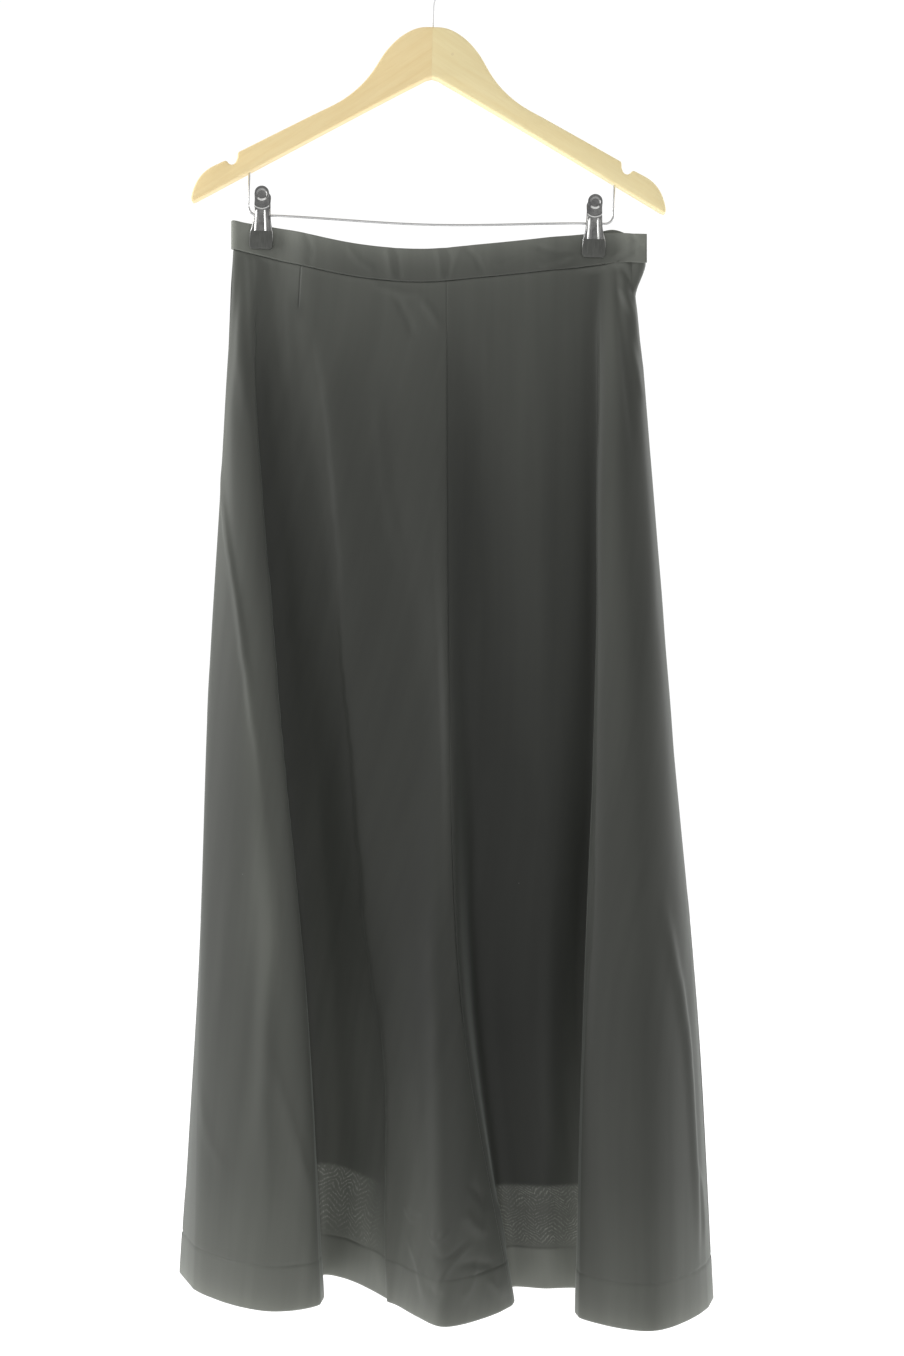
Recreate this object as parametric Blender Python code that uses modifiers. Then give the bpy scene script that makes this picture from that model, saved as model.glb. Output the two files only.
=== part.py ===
# Skirt on a clip hanger: an ankle-length A-line skirt hung by its waistband
# from a wooden hanger with two spring clips.
# Metres, +Z up, +X to the viewer's right, the front of the skirt toward -Y.
# The origin is the inner top of the hook, where a rail carries it.

import math
from collections import namedtuple

import bmesh
import bpy
import numpy as np
from mathutils import Matrix, Vector

MM = 0.001

# Driving dimensions: how it hangs
HANG_TILT = math.radians(1.43)      # the right end hangs lower
FIT_GAP = 0.3 * MM                  # between pieces that touch or are sewn
MERGE = 0.01 * MM
TINY = 1e-6
SMOOTH_ANGLE = 40                   # degrees, edges sharper than this stay crisp

# Driving dimensions: skirt
CLOTH = 1.5 * MM                    # wall of the skirt panels
BAND_CLOTH = 2.4 * MM               # waistband, folded double
BAND_WIDTH = 31.0 * MM
BAND_END_WIDTH = 27.0 * MM          # it rolls in toward both ends
BAND_ROLL_FROM = 130.0 * MM
BAND_ROLL_REACH = 60.0 * MM
WAIST_Z = -288.0 * MM               # band seam at the left side, before the tilt
HEM_Z = -1253.5 * MM
WAIST_OPEN = 8.0 * MM               # half the gap between front and back band
CLIP_OPEN = 1.7 * MM                # the same where a clip presses them together
CLIP_FLAT = 13.0 * MM               # half the width that a clip holds flat
CLIP_FADE = 18.0 * MM               # from there the band opens again
SEAM_DROP = 0.6 * MM                # the panels' top edge below the band
PINCH_DROP = 60.0 * MM              # how far down the skirt a clip's pinch reaches
BAND_RIGHT_END = 199.0 * MM         # the front end laps past the side seam
BAND_BACK_END = 184.0 * MM
BAND_LEFT_TURN = -186.0 * MM
BAND_TURN_REACH = 5.0 * MM
BACK_LIFT = 4.0 * MM                # the back band rides up by the right clip
BACK_LIFT_AT = 168.0 * MM
BACK_LIFT_REACH = 24.0 * MM

# Driving dimensions: hanger
WOOD_TOP_Z = -75.0 * MM             # below the hook's inner top
WOOD_THICK = 12.0 * MM
WOOD_ROUND = 2.5 * MM
OUTLINE_STEPS = 2                   # points between two of the outline's own
FAR_SIDE = (600 * MM, 100 * MM, 400 * MM)   # cuts the other half away
BORE_OVER = 4.0 * MM                # a bore's cutter starts this far outside
HOOK_WIRE = 3.5 * MM
HOOK_RADIUS = 21.0 * MM             # centre line of the loop
HOOK_BEND = math.radians(60.0)
HOOK_END = math.radians(205.0)
HOOK_BEND_STEPS = 7
HOOK_LOOP_STEPS = 26
SHANK_IN_WOOD = 24.0 * MM
BAR_WIRE = 2.3 * MM
BAR_HALF = 172.0 * MM
BAR_SHIFT = 2.5 * MM                # it sits a little to the right
BAR_Z = -255.0 * MM
BAR_SAG = 5.0 * MM
BAR_STEPS = 14
BAR_CORNER = 8.0 * MM
BAR_CORNER_STEPS = 5
BAR_IN_WOOD = 8.0 * MM
ARM_UNDER_AT_BAR = WOOD_TOP_Z - 142.0 * MM

# Driving dimensions: clips, measured from the bar's centre line
CLIP_HALF = 156.5 * MM
CLIP_STEEL = 1.0 * MM
HEAD_Z = 18.5 * MM
HEAD_RADIUS = 6.9 * MM
HEAD_ANGLES = (25, 50, 72, 83)      # of the plate's rows round its head, in degrees
NECK_Z = 12.0 * MM
NECK_HALF = 6.0 * MM
BODY_HALF = 7.0 * MM
JAW_HALF = 10.0 * MM
JAW_TOP = -15.5 * MM
JAW_BOTTOM = -31.5 * MM
JAW_FLARE = 3.5 * MM                # height over which the plate widens to its jaw
PLATE_COLUMNS = 5
COVER_HALF = 11.3 * MM
COVER_THICK = 4.0 * MM
COVER_TOP = -16.0 * MM
COVER_BOTTOM = -33.0 * MM
COVER_ROUND = 1.0 * MM
HEAD_SPREAD = 11.0 * MM             # the handles lean apart by this much a side
PIVOT_SPREAD = 6.5 * MM
EAR_RADIUS = 3.6 * MM
FRONT_EARS = 6.3 * MM               # the front plate's ears lie outside
BACK_EARS = 4.9 * MM                # the back plate's
EAR_SIDES = 16
PIVOT_HOLE = 30.0 * MM              # length of the cutter through both ears
SPRING_WIRE = 0.9 * MM
SPRING_RADIUS = 2.3 * MM
SPRING_TURNS = 3.5
SPRING_PITCH = 1.2 * MM
SPRING_STEPS = 9                    # points a turn
SPRING_LEG_Z = 11.0 * MM

# Fold lines round the skirt: places across and toward the front, in mm,
# at five heights between the band seam and the hem.
LEVELS = (0.0, 0.2, 0.45, 0.72, 1.0)
Fold = namedtuple("Fold", "name waist hip thigh knee hem")
FOLDS = (
    Fold("left side", (-190, 0), (-199, 0), (-214, 0), (-223, 0), (-240, 0)),
    Fold("left round", (-186, 6), (-197, 12), (-207, 28), (-210, 48), (-209, 66)),
    Fold("left ridge", (-180, 8), (-188, 21), (-167, 50), (-150, 82), (-146, 107)),
    Fold("left edge", (-172, 8), (-165, 17), (-145, 32), (-119, 54), (-104, 74)),
    Fold("left tuck", (-164, 8), (-166, 7), (-149, 4), (-123, 0), (-106, -5)),
    Fold("left recess", (-146, 8), (-136, 6), (-118, 3), (-98, 0), (-86, 3)),
    Fold("middle rise", (-126, 8), (-97, 12), (-78, 22), (-54, 44), (-40, 68)),
    Fold("middle trough", (-62, 8), (-50, 13), (-22, 27), (-14, 66), (-14, 115)),
    Fold("middle ridge", (-22, 8), (-8, 19), (4, 40), (5, 89), (9, 138)),
    Fold("centre seam", (11, 8), (11, 20), (14, 42), (25, 76), (70, 74)),
    Fold("right recess", (36, 8), (34, 14), (37, 24), (41, 26), (71, 18)),
    Fold("right swell", (95, 8), (98, 17), (103, 30), (105, 32), (103, 22)),
    Fold("right tuck", (148, 8), (150, 10), (150, 15), (145, 18), (136, 18)),
    Fold("right edge", (158, 8), (154, 18), (149, 38), (138, 68), (130, 101)),
    Fold("right ridge", (172, 8), (176, 25), (184, 54), (186, 92), (188, 136)),
    Fold("right round", (184, 5), (197, 18), (213, 40), (228, 68), (233, 94)),
    Fold("right side", (188, 0), (204, 3), (222, 11), (244, 22), (257, 36)),
    Fold("back right round", (184, -5), (200, -14), (218, -27), (236, -34), (245, -36)),
    Fold("back right ridge", (150, -8), (160, -24), (170, -51), (178, -79), (182, -104)),
    Fold("back right valley", (95, -8), (100, -15), (102, -25), (104, -36), (106, -44)),
    Fold("back middle ridge", (18, -8), (18, -26), (14, -56), (10, -92), (6, -124)),
    Fold("back left valley", (-60, -8), (-66, -15), (-72, -25), (-76, -37), (-78, -46)),
    Fold("back left ridge", (-126, -8), (-136, -24), (-150, -53), (-158, -85), (-160, -112)),
    Fold("back left round", (-186, -6), (-194, -13), (-210, -26), (-219, -40), (-231, -50)),
)

# The band seam's height across the skirt: it sags between the clips.
BAND_LINE = (
    (-190, 0.0), (-165, -5.5), (-126, -14.5), (-71, -24.5), (-10, -27.5),
    (42, -22.0), (108, -13.5), (150, -7.0), (170, -4.0), (194, -4.5),
)

# Panels: the folds where each one starts and ends
PANELS = (
    ("front_left", "left side", "centre seam"),
    ("front_right", "centre seam", "right side"),
    ("back", "right side", "left side"),
)
COLUMN_STEP = 24.0 * MM             # of the panels' mesh, at the hem
PANEL_ROWS = 20
EDGE_COLUMN = 0.8 * MM              # a narrow column beside each seam
UPRIGHT_EDGE = 3.0 * MM             # the panels leave the band straight down
BAND_STEP = 9.0 * MM                # of the band's mesh along its length
BAND_TURN_STEPS = 4                 # of a strip, at its left corner
BAND_ROWS = 4
RING_LEAD = 3                       # folds repeated at each end of the ring
EDGE_READ = 0.2                     # part of a stretch that gives its scale by a seam
STRETCH_POINTS = 9

# Half outline of the wooden hanger: across and down from its top, in mm
WOOD_TOP_CURVE = ((0, 0), (14, 1.2), (29, 9), (43, 23), (57, 45), (68, 58), (84, 71), (110, 85))
WOOD_NOTCH = ((178, 121), (182, 126), (184.5, 131.5), (188, 131.8), (191, 129.9), (195, 129.8))
WOOD_TIP = ((208, 137.6), (217, 144.5), (222, 153.5), (224, 161), (223, 166.5), (219, 168.5))
WOOD_UNDER = ((200, 157.8), (110, 106.8), (60, 78.7), (28, 61), (14, 53.5), (6, 48.6))
WOOD_APEX = (0, 47.2)


# Smooth curves

def steady_slopes(places, values):
    """Slopes of a smooth curve through uneven places."""
    widths = np.diff(places)
    rises = np.diff(values, axis=0) / widths[:, None]
    slopes = np.empty_like(values)
    slopes[0] = rises[0]
    slopes[-1] = rises[-1]
    before = widths[:-1, None]
    after = widths[1:, None]
    slopes[1:-1] = (rises[:-1] * after + rises[1:] * before) / (before + after)
    return slopes


def hermite(places, values, slopes, index, part):
    """A point on the curve's stretch after the given place."""
    width = places[index + 1] - places[index]
    square = part * part
    cube = square * part
    start = (2 * cube - 3 * square + 1) * values[index]
    leave = (cube - 2 * square + part) * width * slopes[index]
    finish = (3 * square - 2 * cube) * values[index + 1]
    arrive = (cube - square) * width * slopes[index + 1]
    return start + leave + finish + arrive


def read_curve(places, values, place):
    """The value at one place on a smooth curve through table values."""
    places = np.asarray(places, float)
    values = np.asarray(values, float)
    if values.ndim == 1:
        values = values[:, None]
    index = int(np.clip(np.searchsorted(places, place) - 1, 0, len(places) - 2))
    part = (place - places[index]) / (places[index + 1] - places[index])
    slopes = steady_slopes(places, values)
    return hermite(places, values, slopes, index, float(np.clip(part, 0, 1)))


def ease(part):
    """A smooth step from 0 to 1."""
    part = min(max(part, 0.0), 1.0)
    return part * part * (3 - 2 * part)


# The skirt's form

def clip_places():
    """Where the clips sit across the skirt, once the hanger is tilted."""
    shift = math.sin(HANG_TILT) * (BAR_Z + COVER_BOTTOM / 2 + COVER_TOP / 2)
    half = CLIP_HALF * math.cos(HANG_TILT)
    return (shift - half, shift + half)


def band_gap(across):
    """Half the gap between front and back band at a place across."""
    away = min(abs(across - place) for place in clip_places())
    opened = ease((away - CLIP_FLAT) / CLIP_FADE)
    return CLIP_OPEN + (WAIST_OPEN - CLIP_OPEN) * opened


def band_seam_z(across):
    """Height of the band seam, with the hang's tilt."""
    places = [row[0] * MM for row in BAND_LINE]
    drops = [row[1] * MM for row in BAND_LINE]
    inside = min(max(across, places[0]), places[-1])
    drop = read_curve(places, drops, inside)[0]
    return WAIST_Z + drop - across * math.tan(HANG_TILT)


def band_width(across):
    """The band's width where it shows: it rolls in toward its ends."""
    rolled = ease((abs(across) - BAND_ROLL_FROM) / BAND_ROLL_REACH)
    return BAND_WIDTH + (BAND_END_WIDTH - BAND_WIDTH) * rolled


def section_knots(level):
    """The fold lines' places at one height, as a closed ring with its knots."""
    columns = [[getattr(fold, name) for name in Fold._fields[1:]] for fold in FOLDS]
    table = np.array(columns, float) * MM
    ring = np.array([read_curve(LEVELS, rows, level) for rows in table])
    ring = np.vstack((ring[-RING_LEAD:], ring, ring[:RING_LEAD + 1]))
    steps = np.sqrt(np.linalg.norm(np.diff(ring, axis=0), axis=1))
    knots = np.concatenate(([0.0], np.cumsum(steps)))
    return knots, ring, steady_slopes(knots, ring)


def section_point(knots, ring, slopes, place):
    """Across and forward at a place given as fold number and part."""
    index = int(math.floor(place))
    across, forward = hermite(knots, ring, slopes, index + RING_LEAD, place - index)
    return across, forward


def cloth_point(section, place, level):
    """A point on the cloth's middle surface."""
    across, forward = section_point(*section, place)
    top = band_seam_z(across) - SEAM_DROP
    foot = HEM_Z - across * math.tan(HANG_TILT)
    height = top + level * (foot - top)
    fade = math.exp(-((top - height) / PINCH_DROP) ** 2)
    pinch = 1 - (1 - band_gap(across) / WAIST_OPEN) * fade
    return Vector((across, -forward * pinch, height))


# Objects and materials

def make_material(name, color, roughness, metallic=0.0):
    material = bpy.data.materials.new(name)
    material.use_nodes = True
    shader = material.node_tree.nodes["Principled BSDF"]
    shader.inputs["Base Color"].default_value = (*color, 1.0)
    shader.inputs["Roughness"].default_value = roughness
    shader.inputs["Metallic"].default_value = metallic
    material.diffuse_color = (*color, 1.0)
    return material


def add_object(name, data, collection, material=None, parent=None):
    piece = bpy.data.objects.new(name, data)
    collection.objects.link(piece)
    if material:
        data.materials.append(material)
    if parent:
        piece.parent = parent
    return piece


def mesh_from(work, name, smooth_angle=None):
    """A mesh from a bmesh, with its normals pointing out."""
    bmesh.ops.recalc_face_normals(work, faces=work.faces)
    mesh = bpy.data.meshes.new(name)
    work.to_mesh(mesh)
    work.free()
    if smooth_angle:
        mesh.shade_smooth()
        mesh.set_sharp_from_angle(angle=math.radians(smooth_angle))
    return mesh


def sheet_grid(work, columns, rows):
    """A grid's points in rows, each from its first column to its last."""
    bmesh.ops.create_grid(work, x_segments=columns - 1, y_segments=rows - 1, size=1)
    ordered = sorted(work.verts, key=lambda vert: (round(vert.co.y, 5), round(vert.co.x, 5)))
    return [ordered[row * columns:(row + 1) * columns] for row in range(rows)]


def add_wall(piece, thickness):
    """Gives an open sheet its thickness, half to each side."""
    wall = piece.modifiers.new("Wall", "SOLIDIFY")
    wall.thickness = thickness
    wall.offset = 0.0
    wall.use_even_offset = True


def mesh_of(piece):
    """The piece as one welded mesh, modifiers applied, in its parent's frame."""
    bpy.context.view_layer.update()
    graph = bpy.context.evaluated_depsgraph_get()
    mesh = bpy.data.meshes.new_from_object(piece.evaluated_get(graph))
    work = bmesh.new()
    work.from_mesh(mesh)
    bmesh.ops.remove_doubles(work, verts=work.verts, dist=MERGE)
    work.to_mesh(mesh)
    work.free()
    return mesh


def cut_with(piece, cutter, operation="DIFFERENCE"):
    """Cuts the piece with a cutter, or joins a blank to it."""
    step = piece.modifiers.new(operation.title(), "BOOLEAN")
    step.operation = operation
    step.solver = "EXACT"
    step.object = cutter


def hide_cutter(cutter):
    cutter.hide_render = True
    cutter.display_type = "WIRE"


# Skirt panels

def fold_number(name):
    return [fold.name for fold in FOLDS].index(name)


def panel_places(start, end):
    """First and last fold of a panel, and the columns between its edges."""
    first = fold_number(start)
    last = fold_number(end)
    if last <= first:
        last += len(FOLDS)
    hem = section_knots(1.0)
    places = []
    for index in range(first, last):
        length = stretch_length(hem, index, index + 1 - TINY)
        count = max(2, round(length / COLUMN_STEP))
        places += [index + step / count for step in range(count)]
    return first, last, places[1:]


def stretch_length(section, start, end):
    """Length along a section between two places on it."""
    places = np.linspace(start, end, STRETCH_POINTS)
    points = [section_point(*section, place) for place in places]
    return np.linalg.norm(np.diff(np.array(points), axis=0), axis=1).sum()


def edge_places(section, first, last):
    """The panel's edge columns at one height, set back from the seams."""
    start_scale = EDGE_READ / stretch_length(section, first, first + EDGE_READ)
    end_scale = EDGE_READ / stretch_length(section, last - EDGE_READ, last - TINY)
    back = FIT_GAP / 2
    near = [first + start_scale * offset for offset in (back, back + EDGE_COLUMN)]
    far = [last - end_scale * offset for offset in (back + EDGE_COLUMN, back)]
    return near, far


def build_panel(name, start, end, collection, material):
    """A grid laid over the skirt's form between two seams."""
    first, last, inner = panel_places(start, end)
    upright = UPRIGHT_EDGE / (WAIST_Z - HEM_Z)
    levels = [0.0, upright] + [row / PANEL_ROWS for row in range(1, PANEL_ROWS + 1)]
    work = bmesh.new()
    grid = sheet_grid(work, len(inner) + 4, len(levels))
    for verts, level in zip(grid, levels):
        section = section_knots(max(0.0, (level - upright) / (1 - upright)))
        near, far = edge_places(section, first, last)
        for vert, place in zip(verts, near + inner + far):
            vert.co = cloth_point(section, place, level)
    panel = add_object(name, mesh_from(work, name, SMOOTH_ANGLE), collection, material)
    add_wall(panel, CLOTH)


# Waistband

def band_front_path():
    """Places along the front strip, from its right end to the left side seam."""
    run = BAND_RIGHT_END - BAND_LEFT_TURN
    count = round(run / BAND_STEP)
    path = []
    for index in range(count):
        across = BAND_RIGHT_END - run * index / count
        path.append((across, -band_gap(across)))
    return path + band_corner(-1)


def band_back_path():
    """Places along the back strip, from the left side seam to its right end."""
    run = BAND_BACK_END - BAND_LEFT_TURN
    count = round(run / BAND_STEP)
    path = band_corner(1)[::-1]
    for index in range(1, count + 1):
        across = BAND_LEFT_TURN + run * index / count
        path.append((across, band_gap(across)))
    return path


def band_corner(side):
    """A strip's quarter turn at the left, which meets the seam squarely."""
    turn = band_gap(BAND_LEFT_TURN)
    path = []
    for index in range(BAND_TURN_STEPS):
        angle = math.pi / 2 * index / BAND_TURN_STEPS
        across = BAND_LEFT_TURN - BAND_TURN_REACH * math.sin(angle)
        path.append((across, side * turn * math.cos(angle)))
    for back in (FIT_GAP / 2 + EDGE_COLUMN, FIT_GAP / 2):
        path.append((BAND_LEFT_TURN - BAND_TURN_REACH, side * back))
    return path


def build_band(name, path, collection, material):
    """One strip, its top edge a little higher at the back by the right clip."""
    work = bmesh.new()
    grid = sheet_grid(work, len(path), BAND_ROWS)
    for row, verts in enumerate(grid):
        for vert, (across, depth) in zip(verts, path):
            lift = 0.0
            if depth > 0:
                lift = BACK_LIFT * ease(1 - abs(across - BACK_LIFT_AT) / BACK_LIFT_REACH)
            width = band_width(across) + lift
            vert.co = (across, depth, band_seam_z(across) + width * row / (BAND_ROWS - 1))
    band = add_object(name, mesh_from(work, name, SMOOTH_ANGLE), collection, material)
    add_wall(band, BAND_CLOTH)


# Wooden hanger

def rounded_run(points, steps):
    """Points of a smooth curve through the given ones."""
    points = np.array(points, float)
    gaps = np.sqrt(np.linalg.norm(np.diff(points, axis=0), axis=1))
    knots = np.concatenate(([0.0], np.cumsum(gaps)))
    slopes = steady_slopes(knots, points)
    run = []
    for index in range(len(points) - 1):
        for step in range(steps):
            run.append(tuple(hermite(knots, points, slopes, index, step / steps)))
    run.append(tuple(points[-1]))
    return run


def wood_outline():
    """The closed outline, across and down in mm, right half then left."""
    across, down = WOOD_TOP_CURVE[1]
    top = rounded_run([(-across, down), *WOOD_TOP_CURVE], OUTLINE_STEPS)[OUTLINE_STEPS:]
    half = top + list(WOOD_NOTCH) + rounded_run(WOOD_TIP, OUTLINE_STEPS) + list(WOOD_UNDER)
    left = [(-across, down) for across, down in reversed(half[1:])]
    return half + [WOOD_APEX] + left


def build_wood(collection, cutters, material, parent):
    """One board outline, cut into two halves that meet at the glue line."""
    curve = bpy.data.curves.new("hanger_outline", "CURVE")
    curve.dimensions = "2D"
    curve.fill_mode = "BOTH"
    curve.bevel_depth = WOOD_ROUND
    curve.bevel_resolution = 1
    curve.offset = -WOOD_ROUND
    curve.extrude = WOOD_THICK / 2 - WOOD_ROUND
    outline = wood_outline()
    spline = curve.splines.new("POLY")
    spline.points.add(len(outline) - 1)
    for point, (across, down) in zip(spline.points, outline):
        point.co = (across * MM, WOOD_TOP_Z - down * MM, 0.0, 1.0)
    spline.use_cyclic_u = True
    board = add_object("hanger_outline", curve, cutters, material)
    flat = mesh_of(board)
    flat.transform(Matrix.Rotation(math.pi / 2, 4, "X"))
    bpy.data.objects.remove(board)
    bores = wood_bores(cutters, parent)
    for name, side in (("hanger_left_half", 1), ("hanger_right_half", -1)):
        half = add_object(name, flat.copy(), collection, None, parent)
        far = add_box(name + "_far_side", cutters, parent, FAR_SIDE,
                      (side * (FAR_SIDE[0] - FIT_GAP) / 2, 0, WOOD_TOP_Z))
        for cutter in [far] + bores:
            cut_with(half, cutter)


def add_box(name, collection, parent, size, place):
    work = bmesh.new()
    bmesh.ops.create_cube(work, size=1)
    bmesh.ops.scale(work, vec=size, verts=work.verts)
    box = add_object(name, mesh_from(work, name), collection, None, parent)
    box.location = place
    hide_cutter(box)
    return box


def add_bore(name, collection, parent, radius, depth, place, sides=12):
    work = bmesh.new()
    bmesh.ops.create_cone(work, cap_ends=True, segments=sides, radius1=radius,
                          radius2=radius, depth=depth)
    bore = add_object(name, mesh_from(work, name), collection, None, parent)
    bore.location = place
    hide_cutter(bore)
    return bore


def wood_bores(cutters, parent):
    """Holes for the hook's shank and for the two ends of the bar."""
    depth = SHANK_IN_WOOD + FIT_GAP + BORE_OVER
    centre = WOOD_TOP_Z + BORE_OVER - depth / 2
    bores = [add_bore("shank_bore", cutters, parent, HOOK_WIRE / 2 + FIT_GAP, depth,
                      (0, 0, centre))]
    for name, side in (("bar_bore_left", -1), ("bar_bore_right", 1)):
        depth = BAR_IN_WOOD + FIT_GAP + BORE_OVER
        centre = ARM_UNDER_AT_BAR + BAR_IN_WOOD + FIT_GAP - depth / 2
        bores.append(add_bore(name, cutters, parent, BAR_WIRE / 2 + FIT_GAP, depth,
                              (BAR_SHIFT + side * BAR_HALF, 0, centre), 10))
    return bores


# Wires

def build_wire(name, points, width, collection, material, parent, resolution=2):
    curve = bpy.data.curves.new(name, "CURVE")
    curve.dimensions = "3D"
    curve.bevel_depth = width / 2
    curve.bevel_resolution = resolution
    curve.use_fill_caps = True
    spline = curve.splines.new("POLY")
    spline.points.add(len(points) - 1)
    for point, place in zip(spline.points, points):
        point.co = (*place, 1.0)
    spline.use_smooth = True
    return add_object(name, curve, collection, material, parent)


def arc(centre, radius, start, end, count):
    """Points of an arc in the hanger's plane."""
    points = []
    for index in range(count + 1):
        angle = start + (end - start) * index / count
        across = centre[0] + radius * math.cos(angle)
        height = centre[1] + radius * math.sin(angle)
        points.append((across, 0.0, height))
    return points


def hook_points():
    """Shank up from the wood, a bend to the right, then the loop."""
    loop_centre = (0.0, HOOK_WIRE / 2 - HOOK_RADIUS)
    rise = 2 * HOOK_RADIUS * math.sin(HOOK_BEND)
    bend_z = loop_centre[1] - rise
    bend = arc((HOOK_RADIUS, bend_z), HOOK_RADIUS, math.pi, math.pi - HOOK_BEND,
               HOOK_BEND_STEPS)
    loop = arc(loop_centre, HOOK_RADIUS, -HOOK_BEND, HOOK_END, HOOK_LOOP_STEPS)
    foot = (0.0, 0.0, WOOD_TOP_Z - SHANK_IN_WOOD)
    return [foot] + bend + loop[1:]


def bar_points():
    """Up into one arm, along under both, and up into the other."""
    reach = BAR_HALF - BAR_CORNER
    corner = arc((reach, BAR_Z + BAR_CORNER), BAR_CORNER, 0.0, -math.pi / 2, BAR_CORNER_STEPS)
    foot = (BAR_HALF, 0.0, ARM_UNDER_AT_BAR + BAR_IN_WOOD)
    run = []
    for index in range(1, BAR_STEPS):
        across = reach - 2 * reach * index / BAR_STEPS
        sag = BAR_SAG * math.sin(math.pi * index / BAR_STEPS) ** 2
        run.append((across, 0.0, BAR_Z - sag))
    right = [foot] + corner
    left = [(-across, depth, height) for across, depth, height in reversed(right)]
    return [(across + BAR_SHIFT, depth, height) for across, depth, height in right + run + left]


def bar_height(across):
    """The bar's height at a clip."""
    reach = BAR_HALF - BAR_CORNER
    part = (reach - across + BAR_SHIFT) / (2 * reach)
    return BAR_Z - BAR_SAG * math.sin(math.pi * part) ** 2


# Clips

def plate_half_width(height):
    """Half the width of a clip plate at a height from the bar."""
    if height > HEAD_Z:
        return math.sqrt(max(HEAD_RADIUS ** 2 - (height - HEAD_Z) ** 2, 0.0))
    rows = ((JAW_BOTTOM, JAW_HALF), (JAW_TOP, JAW_HALF), (JAW_TOP + JAW_FLARE, BODY_HALF),
            (0.0, BODY_HALF), (NECK_Z, NECK_HALF), (HEAD_Z, HEAD_RADIUS))
    heights = [row[0] for row in rows]
    widths = [row[1] for row in rows]
    return float(np.interp(height, heights, widths))


def plate_spread(height):
    """How far a plate's middle lies from the clip's middle plane."""
    grip = CLIP_OPEN + BAND_CLOTH / 2 + FIT_GAP + COVER_THICK / 2
    heights = (JAW_BOTTOM, JAW_TOP, 0.0, HEAD_Z + HEAD_RADIUS)
    spreads = (grip, grip, PIVOT_SPREAD, HEAD_SPREAD)
    return float(np.interp(height, heights, spreads))


def plate_mesh(name, cutters, ear_side):
    """A stamped plate with two ears that hold it on the bar."""
    head = [HEAD_Z + HEAD_RADIUS * math.sin(math.radians(angle)) for angle in HEAD_ANGLES]
    heights = [JAW_BOTTOM, JAW_TOP, JAW_TOP + JAW_FLARE, 0.0, NECK_Z, HEAD_Z] + head
    work = bmesh.new()
    for verts, height in zip(sheet_grid(work, PLATE_COLUMNS, len(heights)), heights):
        half = plate_half_width(height)
        for column, vert in enumerate(verts):
            across = half * (2 * column / (PLATE_COLUMNS - 1) - 1)
            vert.co = (across, -plate_spread(height), height)
    plate = add_object(name + "_sheet", mesh_from(work, name), cutters)
    add_wall(plate, CLIP_STEEL)
    for side in (-1, 1):
        cut_with(plate, ear_blank(name, cutters, side * ear_side), "UNION")
    hole = add_bore(name + "_hole", cutters, None, BAR_WIRE / 2 + FIT_GAP, PIVOT_HOLE, (0, 0, 0))
    hole.rotation_euler = (0, math.pi / 2, 0)
    cut_with(plate, hole)
    mesh = mesh_of(plate)
    mesh.name = name
    bpy.data.objects.remove(plate)
    return mesh


def ear_blank(name, cutters, across):
    """A round-ended lug from the plate to just past the bar."""
    work = bmesh.new()
    turned = Matrix.Rotation(math.pi / 2, 4, "Y")
    bmesh.ops.create_cone(work, cap_ends=True, segments=EAR_SIDES, radius1=EAR_RADIUS,
                          radius2=EAR_RADIUS, depth=CLIP_STEEL, matrix=turned)
    for vert in work.verts:
        if vert.co.y < -MERGE:
            vert.co.y = -PIVOT_SPREAD
            vert.co.z = math.copysign(EAR_RADIUS, vert.co.z)
    bmesh.ops.remove_doubles(work, verts=work.verts, dist=MERGE)
    bmesh.ops.dissolve_degenerate(work, edges=work.edges, dist=MERGE)
    ear = add_object(name + "_ear", mesh_from(work, name + "_ear"), cutters)
    ear.location.x = across
    hide_cutter(ear)
    return ear


def cover_mesh(name, cutters):
    """A soft jaw cover with the pocket that the plate sits in."""
    grip = plate_spread(JAW_BOTTOM)
    height = COVER_TOP - COVER_BOTTOM
    work = bmesh.new()
    bmesh.ops.create_cube(work, size=1)
    bmesh.ops.scale(work, vec=(2 * COVER_HALF, COVER_THICK, height), verts=work.verts)
    cover = add_object(name + "_block", mesh_from(work, name), cutters)
    cover.location = (0, -grip, COVER_TOP - height / 2)
    edges = cover.modifiers.new("Round", "BEVEL")
    edges.width = COVER_ROUND
    edges.segments = 2
    depth = COVER_TOP - JAW_BOTTOM + FIT_GAP
    size = (2 * (JAW_HALF + FIT_GAP), CLIP_STEEL + 2 * FIT_GAP, 2 * depth)
    pocket = add_box(name + "_pocket", cutters, None, size, (0, -grip, COVER_TOP))
    cut_with(cover, pocket)
    mesh = mesh_of(cover)
    mesh.transform(Matrix.Translation(cover.location))
    mesh.name = name
    bpy.data.objects.remove(cover)
    return mesh


def spring_points():
    """A torsion coil round the bar with a leg to each plate."""
    length = SPRING_TURNS * SPRING_PITCH
    total = int(SPRING_STEPS * SPRING_TURNS)
    coil = []
    for index in range(total + 1):
        angle = math.pi + 2 * math.pi * index / SPRING_STEPS
        across = -length / 2 + length * index / total
        coil.append((across, SPRING_RADIUS * math.cos(angle), SPRING_RADIUS * math.sin(angle)))
    reach = plate_spread(SPRING_LEG_Z) - CLIP_STEEL / 2 - SPRING_WIRE / 2 - 2 * FIT_GAP
    front_leg = (coil[0][0], -reach, SPRING_LEG_Z)
    back_leg = (coil[-1][0], reach, SPRING_LEG_Z)
    return [front_leg] + coil + [back_leg]


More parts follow.
